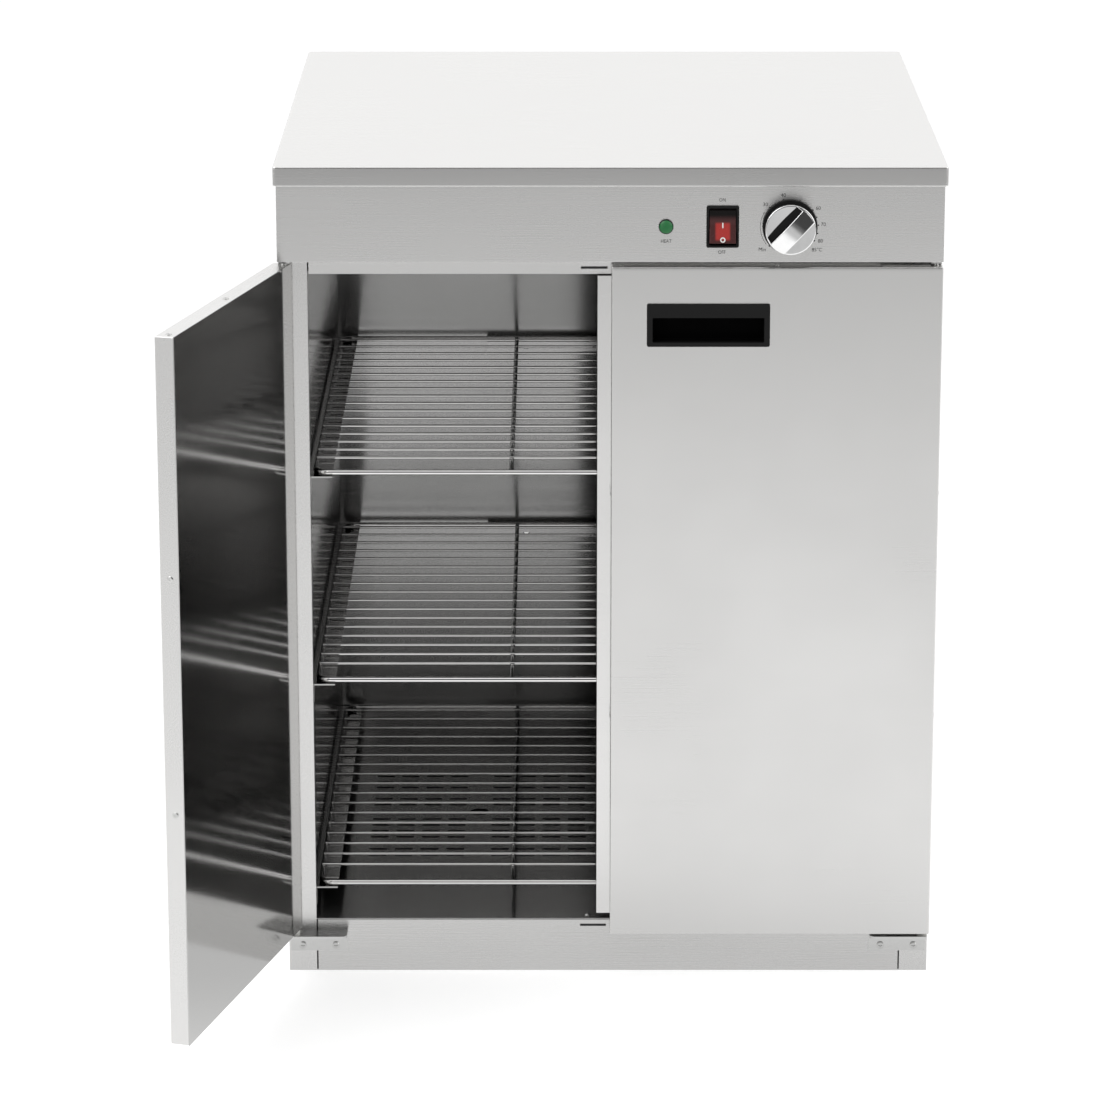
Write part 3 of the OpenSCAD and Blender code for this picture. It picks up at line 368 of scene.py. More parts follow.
steel = {
    # The lid's skirt gets painted shade and its hem a painted highlight
    "worktop": brushed_steel("worktop_brushed", 0.92, rough=0.26, blur=BLUR_ACROSS,
                             painted_shade_below=LID_SKIRT_TOP),
    "fascia": brushed_steel("fascia_brushed", 0.89, rough=0.28, rough_span=0.02),
    "front": brushed_steel("front_brushed", 0.82, rough=0.28),
    "side": brushed_steel("side_brushed", 0.88, axis="y", rough=0.27),
    "frame": brushed_steel("frame_brushed", 0.93, rough=0.25),
    "door": brushed_steel("door_brushed", 0.86, rough=0.25, rough_span=0.02),
    "left_door": brushed_steel("left_door_brushed", 0.84, turn=LEFT_OPEN, rough=0.27),
    # The chamber's darker tones, the roof's darkest, are painted shade
    "chamber": brushed_steel("chamber_bright", 0.52, rough=0.21, blur=BLUR_ACROSS, one_way=0.95),
    "chamber_roof": brushed_steel("chamber_roof_painted_shade", 0.30, rough=0.24, blur=BLUR_ACROSS,
                                  one_way=0.9),
    "chamber_back": brushed_steel("chamber_back_bright", 0.49, rough=0.185, blur=BLUR_ACROSS,
                                  one_way=1.0, lean=0.0105),
    "chamber_side": brushed_steel("chamber_side_bright", 0.47, axis="y", rough=0.09,
                                  rough_span=0.015, marks=0.01, one_way=0.9),
    "left_liner": brushed_steel("left_liner_bright", 0.61, turn=LEFT_OPEN, rough=0.09,
                                one_way=0.8, **LINER_POLISH),
    "right_liner": brushed_steel("right_liner_bright", 0.61, rough=0.12, one_way=0.85,
                                 **LINER_POLISH),
}
print("left door stands open", round(math.degrees(LEFT_OPEN)), "degrees")

# %% [markdown]
# The other finishes are zinc-coated sheet with its crystal spangle, bright plating, moulded plastic
# with a fine spark-eroded grain, mineral wool, heat-darkened sheath, ceramic and copper.
# One maker with a few knobs would be short, but each finish differs in kind, so each has its own.


# %% Coated and plated metal
def spangled_zinc(name, tone):
    """Cells of slightly different brightness and roughness, as zinc crystals on coated sheet."""
    material, add = new_material(name)
    cells = add("ShaderNodeTexVoronoi", {"Vector": object_mapping(add), "Scale": 95.0,
                                         "Randomness": 1.0}).outputs["Color"]
    crystal = add("ShaderNodeRGBToBW", {"Color": cells}).outputs[0]
    bright = remap(add, crystal, (0.0, 1.0), (0.86, 1.06))
    dust = remap(add, noise(add, 9.0, 6.0), (0.3, 0.75), (1.0, 0.9))
    colour = shaded(add, (tone, tone * 1.01, tone * 1.02), calc(add, "MULTIPLY", bright, dust))
    principled(add, colour, Metallic=1.0, Roughness=remap(add, crystal, (0.0, 1.0), (0.38, 0.56)))
    return material


def plated(name, colour, rough, spread=0.06, ripple=0.15):
    """Bright plating: a mirror with a faint wave and small dull patches, painted darker where a
    piece marks painted shade.
    """
    material, add = new_material(name)
    patches = noise(add, 160.0, 4.0)
    shade = remap(add, patches, (0.0, 1.0), (1.03, 0.95))
    # Painted shade: darker where a piece's points carry the mark
    rod_shade = remap(add, attribute(add, "painted_rod_shade"), (0.0, 1.0), (1.0, 0.28))
    principled(add, shaded(add, colour, calc(add, "MULTIPLY", shade, rod_shade)), Metallic=1.0,
               Roughness=remap(add, patches, (0.35, 0.7), (rough, rough + spread)),
               Normal=bumped(add, noise(add, 420.0), ripple, 0.05 * MM))
    return material


# %% Plastics, wool and ceramic
def moulded(name, colour, rough, grain=0.3, grain_size=1400.0, patch=0.08, coat=0.0, shine=0.5):
    """Moulded plastic: fine eroded grain in the bump, roughness that varies in broad patches, and
    painted shade that deepens into a hollow, as far as a piece marks it."""
    material, add = new_material(name)
    touch = noise(add, 70.0, 4.0)
    shade = remap(add, touch, (0.0, 1.0), (0.92, 1.08))
    # Painted shade, deepening into the hollow as far as the piece's points mark it
    painted_shade_share = remap(add, attribute(add, "recess"), (0.0, 1.0), (1.0, 0.04))
    principled(add, shaded(add, colour, calc(add, "MULTIPLY", shade, painted_shade_share)),
               Roughness=remap(add, touch, (0.3, 0.7), (rough - patch, rough + patch)),
               Normal=bumped(add, noise(add, grain_size), grain, 0.1 * MM),
               Coat_Weight=coat, Coat_Roughness=0.08, Specular_IOR_Level=shine)
    return material


def pressed_wool(name):
    """Mineral wool: matted fibres as stretched noise in colour and bump."""
    material, add = new_material(name)
    fibres = noise(add, 1.0, 6.0, 0.7, 0.4, (300.0, 900.0, 500.0))
    colour = mix_colour(add, fibres, (0.52, 0.44, 0.22, 1.0), (0.80, 0.74, 0.50, 1.0))
    principled(add, colour, Roughness=0.95, Normal=bumped(add, fibres, 0.8, 2 * MM))
    return material


# %% Rocker's red plastic
# Window's middle, and the height where the rocker's near-black painted shade begins
WINDOW_X, WINDOW_Z, SHADE_EDGE_Z = 117.0, 831.5, 842.5
ROCKER_SHADE, ROCKER_DARK = (0.003, 0.002, 0.002, 1.0), (0.075, 0.028, 0.028, 1.0)
ROCKER_LIT = (0.42, 0.045, 0.04, 1.0)


def lit_rocker(name):
    """Dark translucent red with a brighter window below the pivot, where the lamp inside shows.
    Above a height the red turns near black, a painted shade where the pressed-in top sits deep.
    The window fades over a margin of its distance from the middle, across and up."""
    material, add = new_material(name)
    window = 1.0
    for axis, centre, inner, outer in (("X", WINDOW_X, 6.0, 9.0), ("Z", WINDOW_Z, 6.8, 10.4)):
        off = calc(add, "ABSOLUTE", calc(add, "SUBTRACT", place_along(add, axis), centre * MM))
        inside = remap(add, off, (inner * MM, outer * MM), (1.0, 0.0), smooth=True)
        window = calc(add, "MULTIPLY", inside, window)
    # Painted shade: above this height the rocker is near black
    fade = ((SHADE_EDGE_Z - 1.0) * MM, (SHADE_EDGE_Z + 7.0) * MM)
    low_part = remap(add, place_along(add, "Z"), fade, (1.0, 0.0), smooth=True)
    dark = mix_colour(add, low_part, ROCKER_SHADE, ROCKER_DARK)
    flow = noise(add, 260.0, 3.0)
    principled(add, mix_colour(add, window, dark, ROCKER_LIT), Specular_IOR_Level=0.2,
               Roughness=remap(add, flow, (0.0, 1.0), (0.16, 0.34)),
               Normal=bumped(add, flow, 0.1, 0.1 * MM))
    return material


# %% All other finishes
finish = {
    "coated_steel": spangled_zinc("zinc_coated_sheet", 0.66),
    "heated_tray": spangled_zinc("heat_darkened_tray", 0.10),
    "plated_steel": plated("zinc_plated_steel", (0.74, 0.74, 0.73), 0.20),
    "shelf_wire": plated("plated_shelf_wire", (0.94, 0.93, 0.92), 0.06, 0.04, 0.06),
    "screw_head": plated("polished_screw", (0.70, 0.70, 0.69), 0.07, 0.05, 0.1),
    # Dark plating on the support rods: painted shade for the dark they mirror
    "shaded_shelf_support": plated("plated_support_painted_shade", (0.26, 0.26, 0.26), 0.12, 0.05, 0.08),
    "knob_cap": plated("plated_knob_cap", (1.0, 1.0, 1.0), 0.07, 0.05, 0.05),
    "copper": plated("bright_copper", (0.80, 0.44, 0.28), 0.24),
    "element_sheath": plated("oxidised_sheath", (0.20, 0.19, 0.20), 0.42, 0.12, 0.4),
    "black_plastic": moulded("black_moulding", (0.009, 0.009, 0.009), 0.45, shine=0.2),
    "cup_black": moulded("pull_cup_black", (0.018, 0.018, 0.018), 0.6, shine=0.04),
    # Black film on one side of the knob's grip bar: painted shade
    "black_side_shade": moulded("black_side_shade", (0.003, 0.003, 0.003), 0.5, shine=0.08),
    "magnet_case": moulded("magnet_moulding", (0.03, 0.03, 0.032), 0.5),
    "nylon": moulded("white_nylon", (0.82, 0.82, 0.79), 0.45),
    "ceramic": moulded("ceramic_body", (0.84, 0.81, 0.74), 0.32, 0.2, 500.0),
    "mineral_wool": pressed_wool("pressed_mineral_wool"),
    "rocker_red": lit_rocker("red_rocker"),
    "lamp_green": moulded("green_lens", (0.004, 0.155, 0.035), 0.16, 0.0, 900.0, 0.03, 0.35),
}
print("finishes:", len(steel), "steels and", len(finish), "others")

# %% [markdown]
# Every CAD node gets the finish of the slot that the record gives it. Steel nodes also choose the
# brushing direction: sheet is brushed along its length before it is cut, so the sides run front to
# back, and the fascia, rails and doors run from side to side.

# %% Finishes for the CAD nodes
node_steel = {
    "top_lid": "worktop", "control_fascia": "fascia", "plinth_rail": "front", "top_rail": "frame",
    "left_side_panel": "side", "right_side_panel": "side", "door_astragal": "frame",
    "left_door_skin": "left_door", "right_door_skin": "door",
    "left_door_liner": "left_liner", "right_door_liner": "right_liner",
    "chamber_roof": "chamber_roof", "rear_chamber_wall": "chamber_back",
    "left_chamber_wall": "chamber_side", "right_chamber_wall": "chamber_side",
    "left_shelf_runners": "chamber_side", "right_shelf_runners": "chamber_side",
}
node_finish = {"element_tray": "heated_tray", "hinge_screws": "screw_head",
               "chamber_screws": "screw_head", "left_door_screws": "screw_head",
               "right_door_screws": "screw_head"}
node_slot = {part["node"]: part["material_slot"] for part in frame["record"]["subparts"]}


def finish_of(node):
    """The Blender material for a CAD node."""
    if node in node_steel:
        return steel[node_steel[node]]
    return finish.get(node_finish.get(node, node_slot[node]), steel["chamber"])


for node, thing in frame["nodes"].items():
    thing.data.materials.clear()
    thing.data.materials.append(finish_of(node))
print("finishes given to", len(frame["nodes"]), "nodes")

# %% [markdown]
# Folded sheet has no knife edges: each fold has a radius of about the sheet's own thickness, and
# cut edges are deburred. A merged copy of a CAD node with a small bevel shows that, because the
# bevel follows every fold, notch and hole that the CAD already has.


# %% Soft-edged copies of folded pieces
def smooth(made, material):
    """Gives a piece one material and smooth faces."""
    made.data.materials.clear()
    made.data.materials.append(material)
    for face in made.data.polygons:
        face.use_smooth = True


def soft_copy(node, width, segments=2):
    """A copy of a CAD node with its triangles merged and its edges rounded by a width in mm."""
    source = frame["nodes"][node]
    copy = bpy.data.objects.new(node + "_folded", source.data.copy())
    bpy.context.scene.collection.objects.link(copy)
    shape = bmesh.new()
    shape.from_mesh(copy.data)
    bmesh.ops.remove_doubles(shape, verts=shape.verts, dist=0.02 * MM)
    bmesh.ops.dissolve_limit(shape, angle_limit=math.radians(1.0), verts=shape.verts,
                             edges=shape.edges)
    shape.to_mesh(copy.data)
    shape.free()
    smooth(copy, finish_of(node))
    bevel = copy.modifiers.new("rounded_folds", "BEVEL")
    bevel.width = width * MM
    bevel.segments = segments
    bevel.limit_method = "ANGLE"
    bevel.angle_limit = math.radians(40)
    copy.modifiers.new("flat_faces_first", "WEIGHTED_NORMAL")
    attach(copy, source["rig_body"])
    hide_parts(node)


FOLD_ROUNDING = {"control_fascia": 0.5, "left_side_panel": 0.5, "right_side_panel": 0.5,
                 "plinth_rail": 0.4, "top_rail": 0.4, "door_astragal": 0.35, "hinge_brackets": 0.45,
                 "magnetic_catches": 0.2, "back_panel": 0.3, "left_door_liner": 0.35,
                 "right_door_liner": 0.35}
for node, width in FOLD_ROUNDING.items():
    soft_copy(node, width)

# %% [markdown]
# The lid, door skins, pull cups and switch bezel are all stacks of rounded rectangles. One function
# gives a rounded rectangle as points, another joins a stack of such loops into a closed surface.
# Box modelling would do too, but loops hold exact sizes and keep the rolled edges even. From here
# on everything is drawn in millimetres, and becomes metres when it is made a piece.


# %% Boxes and rectangles, in millimetres
def box_mm(node):
    """Lowest and highest corners of a CAD node at rest."""
    low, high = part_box(node)
    return np.array(low) / MM, np.array(high) / MM


def middle(low, high):
    """The centre of a box seen from the front, as (x, z)."""
    return (low[0] + high[0]) / 2, (low[2] + high[2]) / 2


def outline(low, high):
    """A box seen from the front, as a rectangle (low x, low z, high x, high z)."""
    return np.array([low[0], low[2], high[0], high[2]])


def grown(rectangle, *margins):
    """A rectangle made larger by one margin all round, or by one across and one up."""
    across, up = margins[0], margins[-1]
    return np.add(rectangle, (-across, -up, across, up))


# %% Loops and surfaces
def full_turn(steps):
    """Angles evenly spaced round a circle."""
    return np.linspace(0.0, 2 * math.pi, steps, endpoint=False)


def rounded_loop(rectangle, radius, steps=4):
    """Points round a rectangle, anticlockwise: each corner is a quarter circle of the radius."""
    x0, z0, x1, z1 = grown(rectangle, -radius)
    quarter = np.linspace(0.0, math.pi / 2, steps + 1)
    centres = np.array([[x1, z1], [x0, z1], [x0, z0], [x1, z0]])
    angles = quarter + np.arange(4)[:, None] * math.pi / 2
    ring = centres[:, None, :] + radius * np.stack([np.cos(angles), np.sin(angles)], axis=-1)
    return ring.reshape(-1, 2)


def rectangle_rings(rings, upright=True):
    """One closed loop for each (rectangle, corner radius, depth), as a grid of points.
    Upright loops stand in X and Z with Y as their depth, and others lie in X and Y."""
    grid = []
    for rectangle, corner, depth in rings:
        a, b = rounded_loop(rectangle, corner).T
        level = np.full(len(a), depth)
        grid.append(np.stack((a, level, b) if upright else (a, b, level), axis=-1))
    return np.array(grid)


SHARPEST_CORNER = 0.3


def stacked(rectangle, corner, profile, upright=True):
    """Loops of a rectangle drawn in by each inset of a profile, at each depth.
    The corner radius shrinks with the inset."""
    return rectangle_rings([(grown(rectangle, -inset), max(corner - inset, SHARPEST_CORNER), depth)
                            for inset, depth in profile], upright)


def roll(centre_inset, centre_depth, radius, start, stop, steps=4):
    """Arc of (inset, depth) pairs about a centre, for a rolled edge. Angles in degrees."""
    angles = np.radians(np.linspace(start, stop, steps + 1))
    return list(zip(centre_inset - radius * np.cos(angles), centre_depth - radius * np.sin(angles)))


def grid_surface(grid, close_rows=False, close_columns=True, caps=(False, False)):
    """(points, faces) of a grid of points: row i, column j joins its neighbours on i + 1 and j + 1.
    Rows or columns may close on themselves, and the first or last row may be filled by one face."""
    rows, columns = grid.shape[:2]
    i, j = np.meshgrid(np.arange(rows - (not close_rows)), np.arange(columns - (not close_columns)),
                       indexing="ij")
    k, m = (i + 1) % rows, (j + 1) % columns
    quads = np.stack([i * columns + j, i * columns + m, k * columns + m, k * columns + j], axis=-1)
    faces = [tuple(face) for face in quads.reshape(-1, 4)]
    for row, capped in zip((0, rows - 1), caps):
        if capped:
            faces.append(tuple(range(row * columns, (row + 1) * columns)))
    return grid.reshape(-1, 3), faces


def solid(grid):
    """The surface of a grid of points whose first and last rows are both filled."""
    return grid_surface(grid, caps=(True, True))


def piece(name, surfaces, body, material, replaces=(), sharp=35.0, place=None):
    """Joins surfaces drawn in mm into one object in metres, merges their seams, turns their faces
    outwards and binds it to its body."""
    points, faces = [], []
    for surface_points, surface_faces in surfaces:
        start = sum(len(block) for block in points)
        points.append(np.asarray(surface_points))
        faces.extend(tuple(int(index) + start for index in face) for face in surface_faces)
    points = np.concatenate(points)
    if place is not None:
        points = place(points)
    made = mesh_object(name, points * MM, faces)
    shape = bmesh.new()
    shape.from_mesh(made.data)
    bmesh.ops.remove_doubles(shape, verts=shape.verts, dist=0.004 * MM)
    bmesh.ops.dissolve_degenerate(shape, edges=shape.edges, dist=0.001 * MM)
    bmesh.ops.recalc_face_normals(shape, faces=shape.faces)
    shape.to_mesh(made.data)
    shape.free()
    smooth(made, material)
    made.data.set_sharp_from_angle(angle=math.radians(sharp))
    made.modifiers.new("flat_faces_first", "WEIGHTED_NORMAL").keep_sharp = True
    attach(made, body)
    if replaces:
        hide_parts(*replaces)
    return made


# %% [markdown]
# The worktop is one sheet folded down all round, its corners welded and ground, its lower edge
# hemmed. In section that is a short profile: flat top, rolled edge, skirt, hem, and back under.
# Carrying that profile round the lid's rectangle gives the whole lid in one surface.

# %% Worktop lid
SHEET, HEM, LID_ROLL, LID_CORNER = 1.2, 1.8, 2.0, 3.0
REACH_IN = 60.0
low, high = box_mm("top_lid")
top, foot = high[2], low[2]
section = [(REACH_IN, top), (4.0, top)]
section += roll(LID_ROLL, top - LID_ROLL, LID_ROLL, -90, 0)
section += roll(HEM / 2, foot + HEM / 2, HEM / 2, 0, 180, 6)
section += [(HEM, foot + 2 * SHEET), (SHEET, foot + 2 * SHEET), (SHEET, top - SHEET),
            (REACH_IN, top - SHEET)]
lid = stacked((low[0], low[1], high[0], high[1]), LID_CORNER, section, upright=False)
piece("worktop_lid", [solid(lid)], "cabinet", steel["worktop"], ["top_lid"])
print("lid measures", np.round(high - low, 1), "mm")

# %% [markdown]
# A door skin is a shallow tray of one millimetre sheet with a rectangular hole for its pull cup.
# Both doors are made closed on the right-hand side. The left one is then mirrored and swung about
# its hinge to where the photograph shows it, so both share every number.

# %% Places of the two doors
LEFT_HINGE = np.array(joints["left_door"]["pos_m"][:2]) / MM


def swung(points, axes, centre, angle):
    """Turns points about a centre in the plane of two axes: each goes to cos and sin of the angle
    times its distances from the centre."""
    first, second = axes
    a, b = points[:, first] - centre[0], points[:, second] - centre[1]
    c, s = math.cos(angle), math.sin(angle)
    moved = np.array(points, dtype=float)
    moved[:, first] = a * c - b * s + centre[0]
    moved[:, second] = a * s + b * c + centre[1]
    return moved


def as_right(points):
    """The right door is drawn where it is."""
    return points


def as_left(points):
    """Mirrors points in X, then turns them about the left hinge line by the angle it is open."""
    return swung(points * [-1, 1, 1], (0, 1), LEFT_HINGE, -LEFT_OPEN)


DOORS = {"right": (as_right, steel["door"]), "left": (as_left, steel["left_door"])}

# %% Door skins
SKIN, SKIN_FOLD, SKIN_CORNER = 1.0, 1.5, 1.2
HOLE_IN_X, HOLE_IN_Z = 3.5, 2.5
skin_low, skin_high = box_mm("right_door_skin")
cup_low, cup_high = box_mm("right_pull_cup")
face_y, back_y = skin_low[1], skin_high[1]
inside_y = face_y + SKIN
hole = grown(outline(cup_low, cup_high), -HOLE_IN_X, -HOLE_IN_Z)
hole_rings = stacked(hole, 2.0, [(0.0, inside_y), (0.0, face_y), (-1.0, face_y)])
skin_section = [(4.0, face_y)] + roll(SKIN_FOLD, face_y + SKIN_FOLD, SKIN_FOLD, 90, 0)
skin_section += [(0.0, back_y), (SKIN, back_y), (SKIN, inside_y + 0.3), (SKIN + 0.3, inside_y)]
skin_rings = stacked(outline(skin_low, skin_high), SKIN_CORNER, skin_section)
skin_surface = grid_surface(np.concatenate([hole_rings, skin_rings]), close_rows=True)
for side, (door_place, door_steel) in DOORS.items():
    piece(f"{side}_door_front", [skin_surface], f"{side}_door", door_steel,
          [f"{side}_door_skin"], place=door_place)
print("door skin is", round(back_y - face_y, 2), "mm deep")

# %% [markdown]
# The pull cup is one black moulding pressed into the door: a thin bezel, an opening, and a pocket
# that runs up behind the bezel's upper lip so that fingertips can hook over it. It could be cut
# from a block, but a stack of rounded rectangles that goes in, up and back gives it in one surface.

# %% Pull cup's surface
CUP_SIDE, CUP_FOOT, CUP_LIP, CUP_ROOF = 6.0, 4.5, 15.0, 6.3
CUP_WALL, CUP_EDGE, LIP_DEPTH, BEZEL_DEPTH = 1.8, 0.7, 4.0, 2.0


def pull_cup_rings(low, high):
    """Rings of the cup in order: pocket floor and mouth, lip, bezel face and edge, body, back."""
    bezel, front, back = outline(low, high), low[1], high[1]
    mouth = bezel + (CUP_SIDE, CUP_FOOT, -CUP_SIDE, -CUP_LIP)
    pocket = bezel + (CUP_SIDE, CUP_FOOT, -CUP_SIDE, -CUP_ROOF)
    body = grown(pocket, CUP_WALL)
    return rectangle_rings([
        (grown(pocket, -1.5), 2.0, back - CUP_WALL), (pocket, 2.0, back - CUP_WALL - 1.2),
        (pocket, 1.0, front + LIP_DEPTH), (mouth, 1.0, front + LIP_DEPTH),
        (mouth, 1.0, front + 0.5), (grown(mouth, 0.15), 1.1, front + 0.15),
        (grown(mouth, 0.5), 1.3, front), (grown(bezel, -CUP_EDGE), 1.4, front),
        (grown(bezel, -0.2), 1.8, front + 0.22), (bezel, 2.0, front + CUP_EDGE),
        (bezel, 2.0, front + BEZEL_DEPTH), (body, 3.0, front + BEZEL_DEPTH),
        (body, 3.0, back - 1.0), (grown(body, -1.0), 2.0, back)])


# %% Values that a material reads
def points_mm(mesh):
    """A mesh's points as an array, in millimetres."""
    points = np.empty(len(mesh.vertices) * 3)
    mesh.vertices.foreach_get("co", points)
    return points.reshape(-1, 3) / MM


def mark_points(made, name, values):
    """Stores one number from 0 to 1 on each point of a piece, under the name its material reads."""
    layer = made.data.attributes.new(name, "FLOAT", "POINT")
    layer.data.foreach_set("value", np.clip(values, 0.0, 1.0))


# %% Pull cups
CUP_SHADE_START, CUP_SHADE_REACH = 1.0, 5.0
cup_surface = solid(pull_cup_rings(cup_low, cup_high))
for side, (door_place, _) in DOORS.items():
    cup = piece(f"{side}_pull_cup_moulding", [cup_surface], f"{side}_door",
                finish["cup_black"], [f"{side}_pull_cup"], place=door_place)
    # The pocket is painted darker the deeper it goes: painted shade in the hollow
    cup_shade_y = cup_low[1] + CUP_SHADE_START
    start, ahead = door_place(np.array([[0.0, cup_shade_y, 0.0], [0.0, cup_shade_y + 1.0, 0.0]]))
    mark_points(cup, "recess", (points_mm(cup.data) - start) @ (ahead - start) / CUP_SHADE_REACH)
print("pull cup is", round(cup_high[0] - cup_low[0], 1), "mm wide")

# %% [markdown]
# The thermostat knob is a black moulded skirt under a bright cap: a flat disc crossed by a tapered
# grip bar. The bar is a grid whose rows run along it and whose columns go up one side, over the top
# and down the other. The disc is a short profile turned about the spindle.


# %% Turned pieces
def round_axis(centre, radius, depth, angle):
    """Points at a radius, an angle and a depth, about a line along Y through the centre (x, z)."""
    x, z = centre[0] + radius * np.cos(angle), centre[1] + radius * np.sin(angle)
    return np.stack(np.broadcast_arrays(x, depth, z), axis=-1)


def turned(profile, centre, steps=64):
    """A profile of (radius, depth) pairs turned about a line along Y, as a grid of points."""
    profile = np.array(profile)
    return round_axis(centre, profile[:, :1], profile[:, 1:], full_turn(steps))


# %% Knob skirt
cap_low, cap_high = box_mm("control_knob")
skirt_low, skirt_high = box_mm("knob_skirt")
front, back = skirt_low[1], skirt_high[1]
dial = middle(cap_low, cap_high)
knob_r = (cap_high[0] - cap_low[0]) / 2
flange_r, skirt_r, cap_r = knob_r + 1.1, knob_r - 2.2, knob_r - 1.1
RIBS, RIB_DEPTH, BORE_R = 48, 0.25, 3.2
rib_angles = full_turn(RIBS * 4)
skirt = turned([(BORE_R, front), (skirt_r, front), (skirt_r, back - 4.2),
                (skirt_r + 0.3, back - 3.4), (flange_r - 0.3, back - 3.0), (flange_r, back - 2.6),
                (flange_r, back - 0.4), (flange_r - 0.4, back), (BORE_R, back)],
               dial, len(rib_angles))
flute = RIB_DEPTH * (0.5 - 0.5 * np.cos(RIBS * rib_angles))
skirt[2:4] -= round_axis((0.0, 0.0), flute, 0.0, rib_angles)
piece("knob_skirt_moulding", [grid_surface(skirt, close_rows=True)], "knob",
      finish["black_plastic"], ["knob_skirt"])
print("knob skirt has", RIBS, "ribs and is", round(2 * flange_r, 1), "mm across")

# %% Knob's grip bar
GRIP_ANGLE = math.radians(47)
GRIP_TOP_HALF, GRIP_LEAN, GRIP_BASE_HALF, GRIP_BASE_HEIGHT = 8.5, 2.6, 13.5, 3.8
GRIP_SOFT, CROWN, CONE_DRAFT = 0.9, 3.2, 2.0 / 16.0
DISC_HEIGHT, DISH = 4.4, 0.5
grip_front, cap_back = cap_low[1], cap_high[1]
grip_height = cap_back - grip_front


def grip_side(top_half, steps=4):
    """One side of the bar's section as (offset, height): up the slope, round its soft shoulder."""
    slope = math.atan2(GRIP_BASE_HALF - top_half, grip_height - GRIP_BASE_HEIGHT)
    angles = np.linspace(slope, math.pi / 2, steps + 1)
    reach = GRIP_SOFT / math.tan((math.pi / 2 + slope) / 2)
    centre = np.array([top_half - reach, grip_height - GRIP_SOFT])
    shoulder = centre + GRIP_SOFT * np.stack([np.cos(angles), np.sin(angles)], axis=-1)
    return np.vstack([[GRIP_BASE_HALF, GRIP_BASE_HEIGHT], shoulder])


def grip_bar(proud=0.0, reach_share=1.0, rows=25):
    """The bar as a grid: its section at each station along it, which reaches as far as the cone's
    circle at that offset and height allows. Its top is crowned, so it falls away by the square of
    the distance along. Proud lifts the whole skin off."""
    shaded_side, plain_side = (grip_side(GRIP_TOP_HALF + lean) for lean in (-GRIP_LEAN, GRIP_LEAN))
    section = np.vstack([shaded_side, [[-GRIP_LEAN, grip_height]], plain_side[::-1] * [-1, 1]])
    offset, height = section.T
    cone_r = cap_r + 0.2 - height * CONE_DRAFT
    reach = np.sqrt(np.maximum(cone_r ** 2 - offset ** 2, 0.0))
    t = np.sin(np.linspace(-1, 1, rows) * math.pi / 2)[:, None]
    along, out = t * reach * reach_share, offset + proud * np.sign(offset)
    sink = CROWN * t ** 2 * np.clip(height / grip_height, 0, 1)
    c, s = math.cos(GRIP_ANGLE), math.sin(GRIP_ANGLE)
    depth = cap_back - (height - sink) - proud * 0.3
    return np.stack([dial[0] + along * c - out * s, depth, dial[1] + along * s + out * c], axis=-1)


# %% Knob cap and painted shade on the grip's side
SIDE_SHADE_PROUD, SIDE_SHADE_SUNK, SIDE_SHADE_REACH = 0.08, -0.05, 0.985
disc_y = cap_back - DISC_HEIGHT
disc = turned([(cap_r - 0.5, cap_back), (cap_r, cap_back - 0.5), (cap_r, disc_y + 1.0),
               (cap_r - 0.15, disc_y + 0.5), (cap_r - 0.5, disc_y + 0.15), (cap_r - 1.0, disc_y),
               (cap_r - 1.6, disc_y + 0.03), (0.4, disc_y + DISH)], dial, 96)
piece("knob_cap", [solid(disc), solid(grip_bar())], "knob", finish["knob_cap"],
      ["control_knob"], sharp=30)
# Painted shade: one sloped side of the grip bar is covered by a thin black film, where the chrome
# shows dark
stripe, sunk = (grip_bar(lift, SIDE_SHADE_REACH)[:, :2] for lift in (SIDE_SHADE_PROUD, SIDE_SHADE_SUNK))
piece("knob_shaded_side", [solid(np.concatenate([stripe, sunk[:, ::-1]], axis=1))], "knob",
      finish["black_side_shade"], sharp=30)
print("knob is", round(2 * knob_r), "mm across")

# %% [markdown]
# The rocker switch sits in a snap-in housing: a black bezel with rounded corners round a deep
# mouth, and a translucent red rocker with raised marks. The rocker's face is two shallow slopes
# meeting at its pivot, so its depth is a function of height alone, rounded at the rim.

# %% Switch housing
low, high = box_mm("switch_housing")
switch_x, switch_z = middle(low, high)
panel_y = box_mm("control_fascia")[0][1]
BEZEL_RIM, HOUSING_WALL, MOUTH_DEPTH, TERMINALS = 1.6, 1.3, 18.0, 9.0
bezel, front = outline(low, high), low[1]
body = grown(bezel, -BEZEL_RIM)
mouth = grown(body, -HOUSING_WALL)
terminals_y = high[1] - TERMINALS
housing = rectangle_rings([
    (mouth, 0.8, panel_y + MOUTH_DEPTH), (mouth, 0.8, front + 0.9),
    (grown(mouth, 0.35), 1.1, front + 0.3), (grown(mouth, 0.9), 1.6, front),
    (grown(bezel, -0.6), 1.6, front + 0.1), (grown(bezel, -0.1), 2.0, front + 0.7),
    (bezel, 2.0, front + 1.1), (bezel, 2.0, panel_y),
    (body, 0.6, panel_y), (body, 0.6, terminals_y)])
blades = []
for x in (switch_x - 7, switch_x + 7):
    for z in (switch_z - 12, switch_z, switch_z + 12):
        blade = grown((x, z, x, z), 0.4, 3.2)
        blades.append(solid(rectangle_rings([
            (blade, 0.2, terminals_y - 0.5), (blade, 0.2, high[1] - 1.0),
            (grown(blade, -0.2, -0.6), 0.2, high[1])])))
piece("switch_housing_moulding", [solid(housing)] + blades, "cabinet",
      finish["black_plastic"], ["switch_housing"])
print("switch has", len(blades), "terminals")

